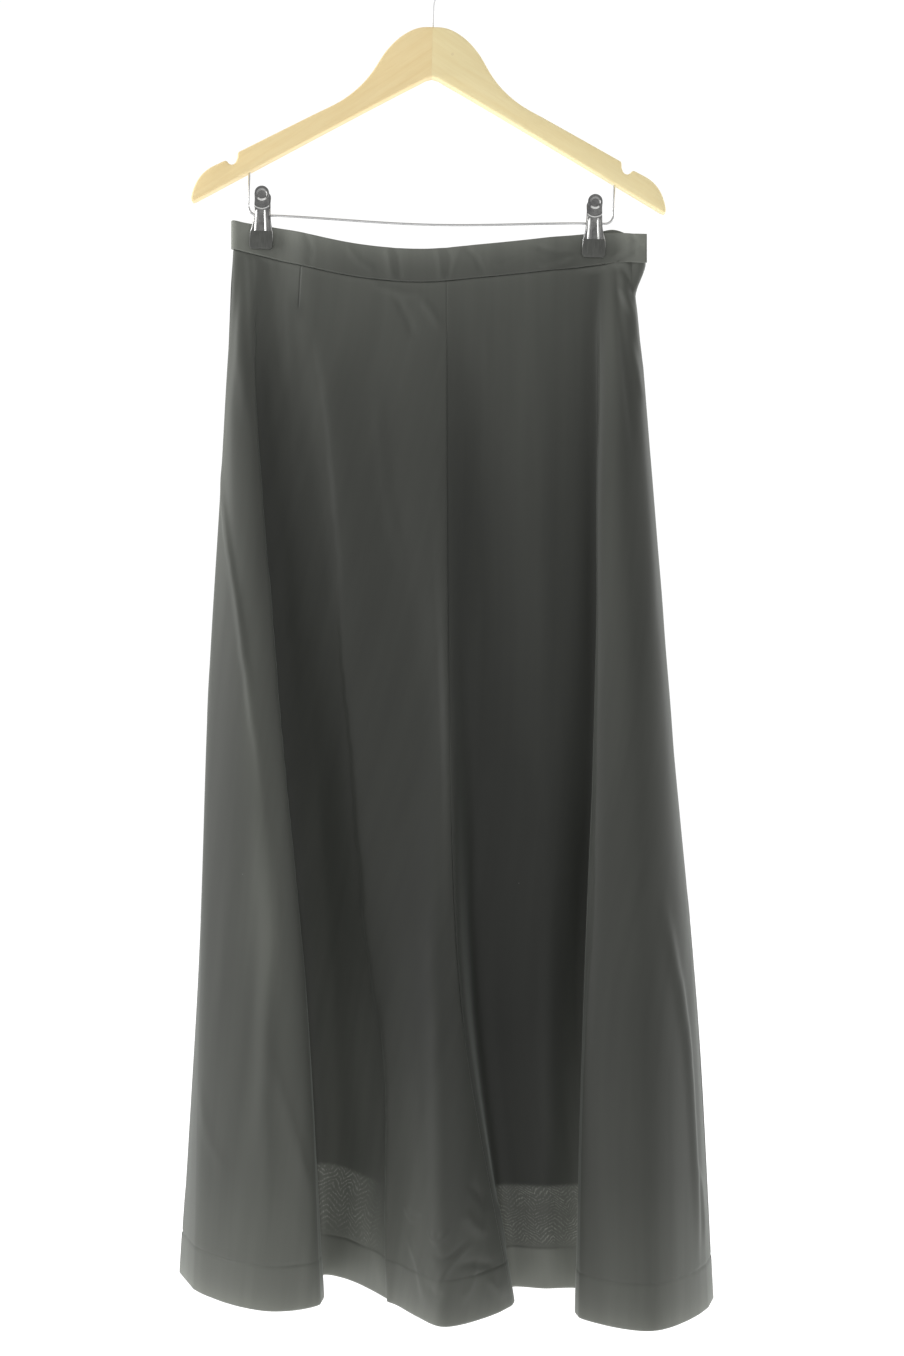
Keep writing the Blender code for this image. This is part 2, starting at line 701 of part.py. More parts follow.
def build_clip(side, place, meshes, collection, steel, parent):
    """Front and back plate, their covers and the spring, on an empty."""
    clip = bpy.data.objects.new("clip_" + side, None)
    collection.objects.link(clip)
    clip.parent = parent
    clip.location = place
    for face, turn in (("front", 0.0), ("back", math.pi)):
        for part_name in ("plate", "cover"):
            name = f"clip_{side}_{face}_{part_name}"
            piece = add_object(name, meshes[face, part_name], collection, None, clip)
            piece.rotation_euler.z = turn
    build_wire(f"clip_{side}_spring", spring_points(), SPRING_WIRE, collection, steel, clip, 1)


# The whole object

def clear_scene():
    for piece in list(bpy.data.objects):
        bpy.data.objects.remove(piece, do_unlink=True)


def add_collection(name):
    collection = bpy.data.collections.new(name)
    bpy.context.scene.collection.children.link(collection)
    return collection


def build_hanger(collection, cutters):
    hanger = bpy.data.objects.new("hanger", None)
    collection.objects.link(hanger)
    hanger.rotation_euler = (0, HANG_TILT, 0)
    wood = make_material("pale wood", (0.80, 0.67, 0.40), 0.5)
    steel = make_material("bright steel", (0.75, 0.76, 0.78), 0.2, 1.0)
    coat = make_material("dark jaw coating", (0.03, 0.03, 0.035), 0.55)
    build_wood(collection, cutters, wood, hanger)
    build_wire("hook", hook_points(), HOOK_WIRE, collection, steel, hanger, 3)
    build_wire("clip_bar", bar_points(), BAR_WIRE, collection, steel, hanger)
    cover = cover_mesh("clip_cover", cutters)
    meshes = {
        ("front", "plate"): plate_mesh("clip_front_plate", cutters, FRONT_EARS),
        ("back", "plate"): plate_mesh("clip_back_plate", cutters, BACK_EARS),
        ("front", "cover"): cover,
        ("back", "cover"): cover,
    }
    for (face, part_name), mesh in meshes.items():
        mesh.materials.clear()
        mesh.materials.append(coat if part_name == "cover" else steel)
        mesh.shade_smooth()
        mesh.set_sharp_from_angle(angle=math.radians(SMOOTH_ANGLE))
    for side, across in (("left", -CLIP_HALF), ("right", CLIP_HALF)):
        build_clip(side, (across, 0, bar_height(across)), meshes, collection, steel, hanger)


def build_skirt(collection):
    cloth = make_material("dark crepe", (0.045, 0.048, 0.047), 0.5)
    for name, start, end in PANELS:
        build_panel(name, start, end, collection, cloth)
    build_band("waistband_front", band_front_path(), collection, cloth)
    build_band("waistband_back", band_back_path(), collection, cloth)


def main():
    clear_scene()
    collection = add_collection("skirt_on_clip_hanger")
    cutters = add_collection("cutters")
    build_skirt(collection)
    build_hanger(collection, cutters)
    bpy.context.view_layer.update()


main()
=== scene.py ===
# Looks of a dark A-line skirt that hangs by its band from a wooden clip hanger.
# Metres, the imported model's frame: +X to the viewer's right, the front toward -Y, +Z up.

import math

import bmesh
import bpy
import numpy as np
from mathutils import Matrix, Vector


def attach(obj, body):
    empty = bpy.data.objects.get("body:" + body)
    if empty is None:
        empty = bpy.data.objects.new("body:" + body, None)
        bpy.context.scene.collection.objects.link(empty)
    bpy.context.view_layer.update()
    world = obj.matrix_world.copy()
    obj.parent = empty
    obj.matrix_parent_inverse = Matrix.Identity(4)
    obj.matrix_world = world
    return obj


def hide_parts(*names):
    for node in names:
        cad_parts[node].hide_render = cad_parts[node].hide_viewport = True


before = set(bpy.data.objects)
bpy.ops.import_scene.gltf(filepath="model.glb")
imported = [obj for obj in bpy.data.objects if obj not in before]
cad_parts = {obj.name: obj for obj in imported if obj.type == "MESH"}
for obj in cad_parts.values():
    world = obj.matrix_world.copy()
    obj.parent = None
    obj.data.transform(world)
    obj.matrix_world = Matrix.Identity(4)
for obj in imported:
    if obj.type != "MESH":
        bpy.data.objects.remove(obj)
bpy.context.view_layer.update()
print("loaded", len(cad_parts), "nodes")

mm = 0.001


# Shader maths as expressions

class Signal:
    def __init__(self, tree, socket=None):
        self.tree, self.socket = tree, socket

    def make(self, kind, settings=None, inputs=None, output=0):
        node = self.tree.nodes.new(kind)
        for name, value in (settings or {}).items():
            if name == "stops":
                for element, (place, color) in zip(node.color_ramp.elements, value):
                    element.position, element.color = place, (*color, 1)
            else:
                setattr(node, name, value)
        for name, value in (inputs or {}).items():
            if isinstance(value, Signal):
                self.tree.links.new(value.socket, node.inputs[name])
            else:
                node.inputs[name].default_value = value
        return Signal(self.tree, node.outputs[output])

    def math(self, operation, *values):
        return self.make("ShaderNodeMath", {"operation": operation}, dict(enumerate(values)))

    def __add__(self, other): return self.math("ADD", self, other)
    def __radd__(self, other): return self.math("ADD", other, self)
    def __sub__(self, other): return self.math("SUBTRACT", self, other)
    def __rsub__(self, other): return self.math("SUBTRACT", other, self)
    def __mul__(self, other): return self.math("MULTIPLY", self, other)
    def __rmul__(self, other): return self.math("MULTIPLY", other, self)
    def __gt__(self, other): return self.math("GREATER_THAN", self, other)
    def __pow__(self, other): return self.math("POWER", self, other)


def newMaterial(name, **values):
    material = bpy.data.materials.new(name)
    material.use_nodes = True
    shader = material.node_tree.nodes["Principled BSDF"]
    for key, value in values.items():
        shader.inputs[key.replace("_", " ")].default_value = value
    return material, shader, Signal(material.node_tree)


def feed(signal, shader, name):
    signal.tree.links.new(signal.socket, shader.inputs[name])


def mixColors(signal, factor, first, second, blend="MIX"):
    first, second = (color if isinstance(color, Signal) else (*color, 1)
                     for color in (first, second))
    return signal.make("ShaderNodeMix", {"data_type": "RGBA", "blend_type": blend},
                       {0: factor, 6: first, 7: second}, 2)


def ramp(signal, factor, *stops):
    return signal.make("ShaderNodeValToRGB", {"stops": stops}, {"Fac": factor})


def rising(signal, value, start, end, low=0.0, high=1.0):
    return signal.make("ShaderNodeMapRange", {"interpolation_type": "SMOOTHSTEP"},
                       {"Value": value, "From Min": start, "From Max": end,
                        "To Min": low, "To Max": high})


def objectPlace(signal):
    return signal.make("ShaderNodeTexCoord", output="Object")


def placed(signal, source, scale=(1, 1, 1), turn=(0, 0, 0)):
    return signal.make("ShaderNodeMapping", None,
                       {"Vector": source, "Scale": scale, "Rotation": turn})


def alongAxis(signal, vector, axis):
    return signal.make("ShaderNodeSeparateXYZ", None, {"Vector": vector}, axis)


def painted(signal, name):
    return signal.make("ShaderNodeAttribute", {"attribute_name": name}, output="Fac")


def noise(signal, source, scale, detail=2.0, rough=0.5, distortion=0.0):
    return signal.make("ShaderNodeTexNoise", None,
                       {"Vector": source, "Scale": scale, "Detail": detail,
                        "Roughness": rough, "Distortion": distortion})


def bump(signal, height, depth, strength, under=None):
    inputs = {"Height": height, "Distance": depth, "Strength": strength}
    if under is not None:
        inputs["Normal"] = under
    return signal.make("ShaderNodeBump", None, inputs)


clothLook = {
    "color": (0.0236, 0.0250, 0.0216),
    "paintedLightColor": (0.196, 0.204, 0.180),  # painted light: the colour of light coming through, below the lining, and of the other painted highlights
    "sewn": (0.010, 0.011, 0.010),  # painted shadow in the dart's seam
    "sewnEnd": (0.036, 0.043),  # where the seam's groove and its painted shadow fade out, down the cloth
    "lint": (0.30, 0.31, 0.28),
    "lintSize": 0.010,  # share of the space between two specks
    "paintedMoire": 1.3,  # painted light: brightness of the moiré ripples where two thin layers meet with light coming through
    "ripples": (1180, 1900),  # their number a metre times 2 pi, left and right recess
    "rough": 0.58,
    "weave": 0.00042,  # pitch of the weave
    "weaveDepth": 0.00003,
}


def clothMaterial(name):
    look = clothLook
    material, shader, cloth = newMaterial(
        name, Roughness=look["rough"], Specular_IOR_Level=0.28,
        Sheen_Weight=0.18, Sheen_Roughness=0.40, Sheen_Tint=(0.90, 0.96, 0.90, 1))
    flat = cloth.make("ShaderNodeUVMap", {"uv_map": "clothFlat"})
    along, down = alongAxis(cloth, flat, "X"), alongAxis(cloth, flat, "Y")
    paintedLight, ripple, dart = (painted(cloth, key) for key in ("paintedLight", "ripple", "dart"))
    patches = noise(cloth, objectPlace(cloth), 5.0, 3.0)
    streaks = noise(cloth, placed(cloth, flat, (75, 4, 1)), 1.0, 3.0)

    # painted light: chevron moiré ripples, finer where the painted value is below 0
    first, second = look["ripples"]
    finer = 1 - (ripple > -0.001)
    zigzag = cloth.math("PINGPONG", along + noise(cloth, flat, 24.0) * 0.030, 0.013)
    bent = down + zigzag * 0.75 + noise(cloth, flat, 90.0, 3.0) * 0.008
    waves = cloth.math("SINE", bent * (first + finer * (second - first))) * 0.5 + 0.5
    broken = noise(cloth, placed(cloth, flat, (700, 260, 1)), 1.0) - 0.36
    patchy = noise(cloth, flat, 42.0, 1.0) - 0.22
    shown = cloth.math("MAXIMUM", broken * patchy * 9.0, 0.0) * cloth.math("ABSOLUTE", ripple)
    # random patches and streaks, and the painted light of the moiré ripples
    shade = 0.75 + patches * 0.18 + streaks * 0.32 + waves ** 3.0 * shown * look["paintedMoire"]
    grey = cloth.make("ShaderNodeCombineColor", None,
                      {"Red": shade, "Green": shade, "Blue": shade})
    # painted light and shade: the painted attribute mixes in the lighter colour
    tint = mixColors(cloth, paintedLight, look["color"], look["paintedLightColor"])
    tint = mixColors(cloth, 1.0, tint, grey, "MULTIPLY")

    # the dart's seam: a groove with painted shadow in it, darker toward its tip, and a little lint
    groove = cloth.math("EXPONENT", dart * dart * -1.6) * rising(
        cloth, down, *look["sewnEnd"], 1.0, 0.0)
    tint = mixColors(cloth, groove * (down * 6.0 + 0.12), tint, look["sewn"])
    specks = cloth.make("ShaderNodeTexVoronoi", {"feature": "F1"}, {"Vector": flat, "Scale": 16.0})
    lint = 1 - (specks > look["lintSize"])
    feed(mixColors(cloth, lint * 0.3, tint, look["lint"]), shader, "Base Color")
    feed(look["rough"] - 0.03 + patches * 0.06, shader, "Roughness")

    threads = 1 / look["weave"]
    twill = cloth.make("ShaderNodeTexWave", {"bands_direction": "DIAGONAL"},
                       {"Vector": placed(cloth, flat, (threads / 6.28, threads / 6.28, 1)),
                        "Scale": 1.0, "Distortion": 0.6, "Detail": 1.0})
    woven = twill * 0.6 + noise(cloth, flat, threads * 0.8) * 0.7
    fine = bump(cloth, woven, look["weaveDepth"], 0.6)
    uneven = noise(cloth, placed(cloth, flat, (26, 9, 1)), 1.0, 3.0)
    soft = bump(cloth, uneven, 0.0006, 0.5, fine)
    feed(bump(cloth, groove * -1.0, 0.0006, 0.8, soft), shader, "Normal")
    return material


# Smooth curves through uneven places

def steadySlopes(knots, values):
    widths = np.diff(knots, axis=-1)[..., None]
    rises = np.diff(values, axis=-2) / widths
    slopes = np.empty_like(values)
    slopes[..., 0, :] = rises[..., 0, :]
    slopes[..., -1, :] = rises[..., -1, :]
    before, after = widths[..., :-1, :], widths[..., 1:, :]
    steady = rises[..., :-1, :] * after + rises[..., 1:, :] * before
    slopes[..., 1:-1, :] = steady / (before + after)
    return slopes


def hermite(width, start, leave, finish, arrive, part):
    square, cube = part * part, part ** 3
    return ((2 * cube - 3 * square + 1) * start + (cube - 2 * square + part) * width * leave
            + (3 * square - 2 * cube) * finish + (cube - square) * width * arrive)


def readCurve(knots, values, at):
    index = np.clip(np.searchsorted(knots, at) - 1, 0, len(knots) - 2)
    width = (knots[index + 1] - knots[index])[..., None]
    part = np.clip((at - knots[index])[..., None] / width, 0, 1)
    slopes = steadySlopes(knots, values)
    return hermite(width, values[index], slopes[index], values[index + 1], slopes[index + 1], part)


def runningSum(steps):
    return np.concatenate((np.zeros((len(steps), 1)), np.cumsum(steps, axis=1)), axis=1)


def smoothRun(points, steps):
    points = np.array(points, float)
    knots = runningSum(np.sqrt(np.linalg.norm(np.diff(points, axis=0), axis=1))[None])[0]
    at = np.concatenate([np.linspace(a, b, steps, endpoint=False)
                         for a, b in zip(knots[:-1], knots[1:])] + [knots[-1:]])
    return readCurve(knots, points, at)


def readTable(table, at):
    return np.interp(at, *np.array(table).T)


def ease(part):
    part = np.clip(part, 0.0, 1.0)
    return part * part * (3 - 2 * part)


def window(at, low, lowReach, high, highReach):
    # rises from 0 to 1 after low and falls back before high
    return ease((at - low) / lowReach) * ease((high - at) / highReach)


def bell(at, middle, reach):
    return np.exp(-((at - middle) / reach) ** 2)


# The skirt's form, as the solids have it

skirt = {
    "tilt": math.radians(1.43),  # the right end of the hanger hangs lower
    "waistZ": -288 * mm, "hemZ": -1253.5 * mm,
    "seamDrop": 0.6 * mm,  # from the band's foot to the panels' tops
    "pinchDrop": 60 * mm,  # how far down the band narrows the cloth
    "waistOpen": 8 * mm, "clipOpen": 1.7 * mm,  # front to middle, free and in the clips
    "clipFlat": 13 * mm, "clipFade": 32 * mm,
    "clips": (-163.4 * mm, 149.5 * mm),
    "wall": 0.9 * mm, "rows": 228,
    "hemTurn": 38 * mm,  # turned up inside
    "hemRadius": 0.95 * mm,
    "sideFlare": ((0.0, 10.6), (0.004, 9.8), (0.010, 7.2), (0.022, 1.2), (0.030, -2.0),
                  (0.037, -2.8), (0.06, -1.6), (0.10, 0.0)),  # level, mm outward, right side
}
levels = np.array((0.0, 0.2, 0.45, 0.72, 1.0))
folds = (  # across and toward the front in mm, at the waist, hip, thigh, knee and hem
    ("left side", (-190, 0), (-199, 0), (-214, 0), (-223, 0), (-240, 0)),
    ("left round", (-186, 6), (-197, 12), (-207, 28), (-210, 48), (-209, 66)),
    ("left ridge", (-180, 8), (-188, 21), (-167, 50), (-150, 82), (-146, 107)),
    ("left edge", (-172, 8), (-165, 23), (-145, 41), (-119, 65), (-104, 83)),
    ("left tuck", (-164, 8), (-166, 7), (-149, 4), (-123, 0), (-106, -5)),
    ("left recess", (-146, 8), (-136, 6), (-118, 3), (-98, 0), (-86, 3)),
    ("middle rise", (-126, 8), (-97, 12), (-78, 22), (-54, 44), (-40, 68)),
    ("middle trough", (-62, 8), (-50, 13), (-24, 31), (-19, 72), (-15, 113)),
    ("middle ridge", (-22, 8), (-8, 19), (4, 39), (6, 86), (9, 138)),
    ("centre seam", (11, 8), (11, 20), (14, 42), (25, 76), (70, 74)),
    ("right recess", (36, 8), (34, 14), (37, 24), (41, 26), (71, 18)),
    ("right swell", (95, 8), (98, 15), (103, 26), (105, 28), (103, 20)),
    ("right tuck", (148, 8), (150, 10), (150, 15), (145, 18), (136, 18)),
    ("right edge", (158, 8), (154, 18), (149, 38), (138, 68), (130, 101)),
    ("right ridge", (172, 8), (176, 25), (184, 54), (186, 92), (188, 136)),
    ("right round", (184, 5), (197, 18), (213, 40), (228, 68), (233, 94)),
    ("right side", (188, 0), (204, 3), (222, 11), (244, 22), (257, 36)),
    ("back right round", (184, -5), (200, -14), (218, -27), (236, -34), (245, -36)),
    ("back right ridge", (150, -8), (160, -24), (170, -51), (178, -79), (182, -104)),
    ("back right valley", (95, -8), (100, -15), (102, -25), (104, -36), (106, -44)),
    ("back middle ridge", (18, -8), (18, -26), (14, -56), (10, -92), (6, -124)),
    ("back left valley", (-60, -8), (-66, -15), (-72, -25), (-76, -37), (-78, -46)),
    ("back left ridge", (-126, -8), (-136, -24), (-150, -53), (-158, -85), (-160, -112)),
    ("back left round", (-186, -6), (-194, -13), (-210, -26), (-219, -40), (-231, -50)),
)
foldTable = np.array([row[1:] for row in folds], float) * mm
bandLine = np.array((  # the band's foot: across, then below waistZ
    (-190, 0.0), (-165, -5.5), (-126, -14.5), (-71, -24.5), (-10, -27.5),
    (42, -22.0), (108, -13.5), (150, -7.0), (170, -4.0), (194, -4.5))) * mm
slant = math.tan(skirt["tilt"])


def bandSeamZ(across):
    inside = np.clip(across, bandLine[0, 0], bandLine[-1, 0])
    drop = readCurve(bandLine[:, 0], bandLine[:, 1:], inside)[..., 0]
    return skirt["waistZ"] + drop - across * slant


def bandGap(across):
    away = np.min([abs(across - clip) for clip in skirt["clips"]], axis=0)
    opened = ease((away - skirt["clipFlat"]) / skirt["clipFade"])
    return skirt["clipOpen"] + (skirt["waistOpen"] - skirt["clipOpen"]) * opened


def clothPoints(places, level):
    # places: fold numbers with their parts, a row for each level
    ring = np.stack([readCurve(levels, column, level) for column in foldTable], axis=1)
    ring = np.concatenate((ring[:, -3:], ring, ring[:, :4]), axis=1)
    knots = runningSum(np.sqrt(np.linalg.norm(np.diff(ring, axis=1), axis=2)))
    slopes = steadySlopes(knots, ring)
    whole = np.floor(places).astype(int)
    index = whole + 3
    row = np.arange(len(ring))[:, None]
    width = (knots[row, index + 1] - knots[row, index])[..., None]
    flat = hermite(width, ring[row, index], slopes[row, index], ring[row, index + 1],
                   slopes[row, index + 1], (places - whole)[..., None])
    across, forward = flat[..., 0], flat[..., 1]
    top = bandSeamZ(across) - skirt["seamDrop"]
    foot = skirt["hemZ"] - across * slant
    height = top + level[:, None] * (foot - top)
    fade = bell(top, height, skirt["pinchDrop"])
    pinch = 1 - (1 - bandGap(across) / skirt["waistOpen"]) * fade
    return np.stack((across, -forward * pinch, height), axis=-1)


def outward(places, level, step=0.002):
    # the cloth's normals, by small steps down and round
    low, high = np.clip(level - step, 0, 1), np.clip(level + step, 0, 1)
    before, after = np.clip(places - step, 0, None), np.clip(places + step, None, places.max())
    down = clothPoints(places, high) - clothPoints(places, low)
    sideways = clothPoints(after, level) - clothPoints(before, level)
    normal = np.cross(down, sideways)
    return normal / np.linalg.norm(normal, axis=-1, keepdims=True)


# Panels: their cut, their grids and the creases in them
# "crumpled": closer columns between two places. "tone": how light the cut is painted, for the grain
# of its cloth and, lower on the right front, painted shade.
# A row of painted light on the cloth where the amount is above 0 and painted shade where it is
# below: amount, place, its reach, level, its reach
# A crease row: how far it stands out in mm, how far it reaches to its two sides in mm,
# then its path as (fold place, level)

panels = {
    "front_left": {
        "start": 0, "end": 9, "columns": 186, "crumpled": (7.3, 9.0, 2.4),
        "flat": (0.6, 1.005), "area": 0.4,
        "tone": 0.1,
        "paintedLightAndShade": (
            (0.2, 2.5, 0.5, 0.5, 0.24), (0.26, 2.5, 0.7, 0.95, 0.22), (0.6, 4.85, 0.8, 0.9, 0.21),
            (0.22, 2.0, 0.25, 0.47, 0.09), (0.3, 1.3, 0.8, 0.2, 0.17), (0.16, 5.5, 0.4, 0.77, 0.09),
            (0.24, 5.9, 0.45, 0.98, 0.09), (-0.11, 7.3, 0.7, 0.76, 0.26),
            (-0.04, 4.2, 0.6, 0.2, 0.12), (0.05, 5.9, 0.4, 0.15, 0.15),
            (0.3, 2.1, 0.35, 0.65, 0.08), (0.12, 4.8, 0.6, 0.62, 0.14),
            (-0.12, 5.72, 0.24, 0.04, 0.014), (0.09, 2.0, 1.4, 0.66, 0.42),
            (0.12, 7.0, 0.9, 0.9, 0.14)),
        "dart": (6.01, 5.69, 0.043),  # fold places at its two ends, level of its tip
        "creases": (
            (3.0, 30, 5, ((2.1, .06), (2.45, .12), (2.8, .22), (2.88, .36), (2.88, .45),
                (2.92, .55), (2.93, .66), (2.93, .8), (2.93, 1.0))),
            (-3.0, 14, 14, ((3.6, .04), (4.0, .1), (4.4, .18), (4.6, .28), (4.6, .42), (4.6, .6))),
            (1.7, 3.2, 3.6, ((0.45, .205), (0.85, .225), (1.25, .25), (1.55, .29), (1.8, .35),
                (1.95, .43), (2.1, .51), (2.15, .57))),
            (3.0, 10, 5.5, ((2.1, .5), (2.25, .58), (2.18, .66), (2.0, .74), (1.95, .84),
                (1.97, .96))),
            (-0.9, 8, 10, ((1.75, .25), (2.05, .34), (2.3, .45), (2.45, .55), (2.5, .65),
                (2.4, .75))),
            (1.9, 7, 4, ((1.98, .75), (2.25, .8), (2.6, .86), (2.98, .92))),
            (0.8, 8, 6, ((0.8, .8), (1.05, .845), (1.44, .885))),
            (1.1, 5, 6, ((1.95, .03), (2.12, .09), (2.4, .13), (2.55, .18))),
            (-0.9, 4, 4, ((1.3, .01), (1.45, .08), (1.62, .16))),
            (0.8, 4, 4, ((2.55, .00), (2.75, .04), (2.95, .12), (3.0, .2))),
            (0.9, 4, 5, ((3.4, .00), (3.55, .03), (3.75, .07))),
            (-0.7, 5, 5, ((4.4, .00), (4.6, .05), (4.8, .16), (4.9, .28))),
            (0.7, 5, 5, ((5.3, .02), (5.2, .09), (5.1, .2))),
            (2.0, 12, 40, ((6.02, .05), (6.06, .14), (6.02, .25), (5.98, .38), (6.0, .5))),
            (2.3, 2.8, 16, ((6.04, .02), (6.07, .07), (6.09, .1), (6.07, .15), (6.03, .205),
                (6.02, .29), (5.96, .38), (6.00, .47), (5.94, .57), (5.93, .64), (6.00, .7),
                (6.18, .75), (6.22, .8), (6.14, .87), (6.02, .95), (6.02, 1.0))),
            (1.6, 2.4, 6, ((6.16, .7), (6.22, .78), (6.2, .83), (6.14, .88), (6.04, .94),
                (6.02, 1.0))),
            (1.0, 3.5, 3.5, ((7.2, .006), (7.9, .012), (8.4, .01))),
            (-0.8, 4, 4, ((7.5, .01), (7.8, .035), (8.0, .06))),
            (1.0, 4, 4, ((8.2, .015), (8.5, .03), (8.85, .05))),
            (0.8, 5, 5, ((7.0, .08), (7.05, .2), (7.3, .3))),
            (-1.0, 15, 14, ((6.9, .17), (7.13, .24), (7.43, .34), (7.66, .43), (7.97, .49),
                (8.28, .61))),
            (0.6, 7, 7, ((7.6, .62), (7.75, .72), (7.8, .82))),
            (-0.7, 6, 8, ((7.0, .7), (7.1, .8), (7.05, .88))),
            # crumples at the hem
            (1.8, 3.5, 4, ((7.5, .918), (7.8, .926), (8.15, .915))),
            (-1.4, 4, 3.5, ((7.6, .935), (8.0, .942), (8.5, .925))),
            (1.5, 3.5, 4, ((7.7, .972), (8.0, .955), (8.3, .938), (8.5, .93))),
            (1.4, 5, 4.5, ((8.25, .985), (8.4, .965), (8.5, .945))),
            (2.0, 5, 5, ((8.35, .9), (8.5, .915), (8.75, .93))),
            (-1.8, 4, 4.5, ((8.5, .875), (8.7, .89), (8.9, .912))),
            (-1.5, 4, 4, ((8.2, .948), (8.5, .95), (8.85, .962))),
            (1.2, 3, 3, ((8.6, .965), (8.75, .98), (8.8, .99))),
            (1.6, 4, 4, ((6.7, .93), (7.1, .955), (7.3, .985))),
            (1.4, 4, 4, ((6.6, .9), (6.9, .912), (7.3, .905))),
            (-1.4, 5, 5, ((7.4, .965), (7.7, .975), (8.1, .97))),
        ),
    },
    "front_right": {
        "start": 9, "end": 16, "columns": 176, "crumpled": (12.7, 16.0, 1.3),
        "flat": (0.43, 1.005), "area": 0.3,
        "tone": 0.08,
        "paintedLightAndShade": (
            (0.47, 11.75, 0.42, 0.87, 0.17), (0.09, 14.5, 1.2, 0.55, 0.4),
            (-0.12, 10.4, 1.0, 0.62, 0.24), (0.03, 11.0, 0.5, 0.12, 0.1),
            (-0.08, 12.4, 0.45, 0.24, 0.22), (0.12, 13.5, 0.35, 0.24, 0.22),
            (0.12, 13.7, 0.5, 0.05, 0.08), (-0.16, 11.4, 1.3, 0.935, 0.035),
            (-0.09, 9.7, 0.7, 0.24, 0.17), (0.14, 12.35, 0.45, 0.66, 0.2)),
        "creases": (
            (3.2, 4.5, 24, ((13.2, .012), (13.0, .06), (13.0, .1), (13.05, .2), (13.1, .35))),
            (1.8, 3, 14, ((13.05, .12), (13.02, .18), (13.05, .23), (13.12, .38), (13.14, .52),
                (13.2, .62), (13.1, .71), (13.05, .8), (13.05, 1.0))),
            (-2.2, 4, 5, ((13.89, .003), (14.0, .05), (14.12, .09), (14.28, .13), (14.4, .2))),
            (2.0, 3.5, 4, ((14.04, .02), (14.45, .035), (14.9, .055))),
            (-2.2, 3.5, 4, ((14.3, .003), (14.75, .017), (15.2, .035))),
            (0.9, 4, 4, ((14.6, .09), (15.0, .12), (15.4, .14))),
            (-0.8, 4, 5, ((14.8, .07), (15.1, .09), (15.4, .1))),
            (2.6, 7, 5, ((14.5, .6), (14.73, .668), (15.04, .758), (15.13, .833), (15.2, .908),
                (15.16, .98))),
            (1.2, 5, 5, ((15.2, .86), (15.45, .9), (15.5, .95))),
            (1.5, 4, 4, ((9.15, .9), (9.3, .93), (9.35, .96))),
            (-3.0, 22, 26, ((9.7, .03), (9.8, .12), (9.8, .25), (9.9, .38), (10.0, .5))),
            (2.5, 24, 14, ((11.1, .03), (11.05, .12), (11.0, .25), (11.0, .4))),
            (-2.8, 13, 8, ((12.4, .0), (12.35, .08), (12.3, .2), (12.3, .35), (12.3, .5))),
            (0.6, 6, 6, ((10.2, .02), (10.3, .12), (10.2, .25))),
            (-0.6, 6, 6, ((12.1, .0), (12.0, .08), (12.1, .2))),
            (0.8, 10, 12, ((11.09, .12), (11.02, .33), (10.96, .52), (10.94, .72), (10.9, .85))),
            (-0.6, 7, 7, ((11.7, .5), (11.6, .65), (11.7, .8))),
        ),
    },
    "back": {
        "start": 16, "end": 24, "columns": 186, "crumpled": (16.0, 17.0, 1.3),
        "flat": (0.82, 1.005), "area": 0.6,
        "tone": 0.1,
        "paintedLightAndShade": (
            (0.14, 18.0, 0.5, 0.5, 0.3), (-0.08, 19.1, 0.6, 0.55, 0.35),
            (0.16, 20.15, 0.55, 0.66, 0.3), (-0.09, 21.2, 0.6, 0.6, 0.32),
            (0.15, 22.0, 0.45, 0.55, 0.28), (0.2, 18.1, 0.5, 0.97, 0.16),
            (-0.06, 18.7, 0.4, 0.2, 0.14), (0.1, 22.8, 0.5, 0.92, 0.2)),
        "creases": (
            (1.5, 6, 6, ((16.6, .02), (16.8, .06), (17.2, .1))),
            (2.6, 16, 6, ((17.2, .12), (17.6, .18), (17.9, .3), (18.05, .42), (18.1, .56),
                (18.0, .72), (18.05, .9))),
            (-0.8, 5, 5, ((18.6, .0), (18.7, .08), (18.8, .18))),
            (-2.6, 14, 18, ((19.4, .08), (19.6, .28), (19.5, .45), (19.3, .62), (19.35, .8))),
            (1.4, 8, 6, ((19.0, .68), (19.2, .8), (19.1, .9))),
            (3.0, 8, 22, ((20.3, .06), (20.2, .24), (20.05, .4), (20.1, .58), (20.25, .78),
                (20.2, .97))),
            (-2.6, 18, 12, ((21.3, .1), (21.1, .36), (21.25, .55), (21.4, .7))),
            (0.8, 5, 5, ((21.8, .0), (21.7, .07), (21.5, .16))),
            (2.6, 6, 18, ((22.4, .1), (22.2, .28), (22.0, .46), (22.05, .66), (21.95, .88))),
            (1.7, 8, 6, ((23.2, .45), (22.95, .64), (22.6, .76))),
            (1.2, 4, 4, ((20.6, .92), (20.9, .945), (21.3, .95))),
            (1.2, 4, 5, ((18.3, .02), (18.2, .08), (18.25, .17))),
            (-1.2, 5, 5, ((22.8, .0), (22.6, .06), (22.3, .15))),
            (-0.9, 5, 5, ((19.3, .93), (19.7, .95), (20.0, .985))),
        ),
    },
}

